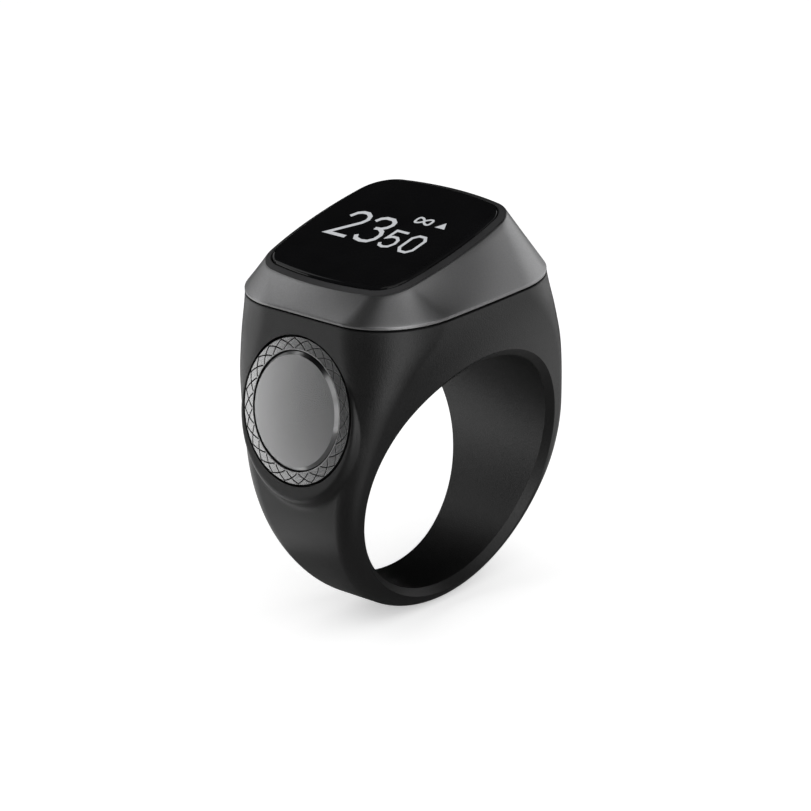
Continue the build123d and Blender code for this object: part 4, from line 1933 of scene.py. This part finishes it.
@dataclass
class Studio:
    """White floor and surround, soft lamps, gloss screens and the camera."""

    floor: float = -11.65
    floor_half: float = 3000.0
    camera_bearing: float = 226.0
    camera_place: Point = (-249.854, -258.904, 140.792)
    camera_back: Point = (-0.64943, -0.67262, 0.35471)
    camera_up: Point = (0.29494, 0.20714, 0.93279)
    camera_clip: tuple[float, float] = (0.01, 20.0)
    lens: float = 216.97
    sensor: float = 36.0
    ambient: float = 0.6
    floor_tone: float = 0.9
    floor_roughness: float = 0.9
    floor_lift: float = 0.45
    screen_steps: int = 48
    lamps: tuple[Softbox, ...] = (
        Softbox("left_softbox", -103.0, -11.0, 35.0, 44.0, 1.2),
        Softbox("left_back_softbox", -135.0, -11.0, 18.0, 80.0, 0.12),
        Softbox("left_back_high_softbox", -138.0, 20.0, 62.0, 66.0, 0.45),
        Softbox("left_high_softbox", -112.0, 36.0, 120.0, 50.0, 0.95),
        Softbox("front_softbox", 9.0, -11.0, 60.0, 74.0, 1.4),
        Softbox("front_right_softbox", 46.0, -11.0, 60.0, 70.0, 0.4),
        Softbox("front_high_left_softbox", -12.0, 62.0, 185.0, 100.0, 0.6),
        Softbox("front_high_right_softbox", 34.0, 62.0, 185.0, 84.0, 0.75),
        Softbox("right_high_softbox", 72.0, 62.0, 185.0, 56.0, 0.1),
        Softbox("right_softbox", 116.0, -11.0, 60.0, 128.0, 0.85),
    )
    screens: tuple[Screen, ...] = (
        Screen("surround_screen", -180.0, 180.0, 150.0, -11.6, 190.0, 0.003, 150.0),
        Screen("top_screen", -180.0, 180.0, 150.0, 190.0, 190.0, 0.003, 2.0),
        Screen("left_edge_screen", -91.0, -75.0, 100.0, -11.6, 130.0, 0.003, 100.0),
        floor_screen("near_floor_screen", -62.0, 215.0, 0.5, 22.0, 0.2),
        floor_screen("left_near_floor_screen", -145.0, -62.0, 0.5, 15.0, 0.32),
        floor_screen("left_floor_screen", -145.0, -62.0, 15.0, 28.0, 1.05),
        floor_screen("front_left_floor_screen", -80.0, -4.0, 22.0, 100.0, 0.15),
        floor_screen("front_floor_screen", -4.0, 34.0, 22.0, 100.0, 0.6),
        floor_screen("front_right_floor_screen", 34.0, 78.0, 22.0, 100.0, 0.2),
        floor_screen("right_floor_screen", 78.0, 140.0, 22.0, 100.0, 0.7),
        floor_screen("back_floor_screen", 140.0, 215.0, 22.0, 100.0, 0.05),
    )

    def outward(self, bearing: float | np.ndarray) -> np.ndarray:
        """Gives the level direction at a bearing from the camera, positive to the viewer's right."""
        turn = np.radians(self.camera_bearing + bearing)
        return np.stack((np.cos(turn), np.sin(turn), np.zeros_like(turn)), axis=-1)

    def background_share(self, tree: bpy.types.NodeTree) -> bpy.types.NodeSocket:
        """Finds the rays that see the white surround: straight, by gloss or through glass.

        Args:
            tree: Node tree that asks.

        Returns:
            A socket that gives 1 for those rays and 0 for others.
        """
        path = tree.nodes.new("ShaderNodeLightPath")
        total = path.outputs["Is Camera Ray"]
        for name in ("Is Glossy Ray", "Is Transmission Ray"):
            node = tree.nodes.new("ShaderNodeMath")
            node.operation = "MAXIMUM"
            tree.links.new(total, node.inputs[0])
            tree.links.new(path.outputs[name], node.inputs[1])
            total = node.outputs["Value"]
        return total

    def surround(self) -> None:
        """Makes the world white where it is seen and softer where it lights."""
        world = bpy.data.worlds.new("white_surround")
        world.use_nodes = True
        tree = world.node_tree
        shader = tree.nodes["Background"]
        shader.inputs["Color"].default_value = (1.0, 1.0, 1.0, 1.0)
        level = tree.nodes.new("ShaderNodeMapRange")
        level.inputs["To Min"].default_value = self.ambient
        level.inputs["To Max"].default_value = 1.0
        tree.links.new(self.background_share(tree), level.inputs["Value"])
        tree.links.new(level.outputs["Result"], shader.inputs["Strength"])
        bpy.context.scene.world = world

    def lay_floor(self) -> None:
        """Makes the white floor, which keeps the ring's shadow."""
        half, height = self.floor_half, self.floor
        corners = ((-half, -half), (half, -half), (half, half), (-half, half))
        skin = Skin()
        skin.add_lid(np.array([(x, y, height) for x, y in corners]))
        floor = new_object("white_floor", skin.mesh("white_floor"))
        sketch = ShaderSketch("white_floor_paint")
        sketch.set(Base_Color=(self.floor_tone,) * 3, Roughness=self.floor_roughness)
        sketch.set(Emission_Color=(1.0, 1.0, 1.0), Specular_IOR_Level=0.0)
        seen = self.background_share(sketch.tree)
        lift = sketch.span(seen, 0.0, self.floor_lift, start=0.0, end=1.0)
        sketch.feed("Emission Strength", lift)
        floor.data.materials.append(sketch.material)

    def stand_lamps(self) -> None:
        """Makes the softboxes."""
        for box in self.lamps:
            data = bpy.data.lights.new(box.name, "AREA")
            data.shape = "RECTANGLE"
            data.size, data.size_y = box.width * MM, (box.top - box.bottom) * MM
            data.energy = box.brightness * pi * data.size * data.size_y
            away = Vector(self.outward(box.bearing))
            place = away * box.radius + Vector((0.0, 0.0, (box.top + box.bottom) / 2.0))
            lamp = bpy.data.objects.new(box.name, data)
            turn = away.to_track_quat("Z", "Y").to_matrix().to_4x4()
            lamp.matrix_world = Matrix.Translation(place * MM) @ turn
            lamp.visible_camera = False
            bpy.context.scene.collection.objects.link(lamp)

    def stand_screens(self) -> None:
        """Makes the screens that give the gloss its depth."""
        for screen in self.screens:
            level = self.outward(np.linspace(screen.start, screen.end, self.screen_steps + 1))
            low = level * screen.radius + (0.0, 0.0, screen.bottom)
            high = level * screen.top_radius + (0.0, 0.0, screen.top)
            skin = Skin()
            skin.add_rows(np.array((low, high)))
            piece = new_object(screen.name, skin.mesh(screen.name))
            sketch = ShaderSketch(screen.name + "_felt")
            sketch.set(Base_Color=(screen.tone,) * 3, Roughness=1.0, Specular_IOR_Level=0.0)
            piece.data.materials.append(sketch.material)
            piece.visible_camera = False
            piece.visible_shadow = False
            piece.visible_diffuse = False

    def stand_camera(self) -> None:
        """Puts the camera at the photograph's view."""
        back, up = Vector(self.camera_back).normalized(), Vector(self.camera_up)
        right = up.cross(back).normalized()
        turn = Matrix((right, back.cross(right), back)).transposed()
        data = bpy.data.cameras.new("photo_camera")
        data.lens, data.sensor_width = self.lens, self.sensor
        data.clip_start, data.clip_end = self.camera_clip
        camera = bpy.data.objects.new("photo_camera", data)
        camera.matrix_world = Matrix.Translation(Vector(self.camera_place) * MM) @ turn.to_4x4()
        bpy.context.scene.collection.objects.link(camera)
        bpy.context.scene.camera = camera

    def build(self) -> None:
        """Sets up everything round the ring."""
        bpy.context.scene.view_settings.view_transform = "Standard"
        self.surround()
        self.lay_floor()
        self.stand_lamps()
        self.stand_screens()
        self.stand_camera()


def main() -> None:
    """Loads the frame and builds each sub-assembly."""
    logging.basicConfig(level=logging.INFO)
    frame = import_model()
    wardrobe = Wardrobe()
    wardrobe.dress_inside(frame["nodes"])
    settle(RingBody().build(), Body.RING, "ring_body", wardrobe.body.material())
    head = DisplayHead()
    bezel_finishes = [finish.material() for finish in (wardrobe.bezel, wardrobe.rim, wardrobe.lip)]
    settle(head.bezel(), Body.RING, "bezel", *bezel_finishes)
    settle(head.lens(), Body.RING, "cover_lens", wardrobe.lens.material())
    figures = LitFigures().build()
    figures.data.materials.append(wardrobe.figures.material())
    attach(figures, Body.RING.value)
    LOG.info("%s: %d faces", figures.name, len(figures.data.polygons))
    button = SideButton()
    settle(button.cap(), Body.BUTTON, "button_cap", wardrobe.cap.material(), wardrobe.bevel.material())
    trim_finish = wardrobe.trim.material()
    settle(button.trim(trim_finish), Body.RING, "button_trim", trim_finish)
    Studio().build()


if __name__ == "__main__":
    main()
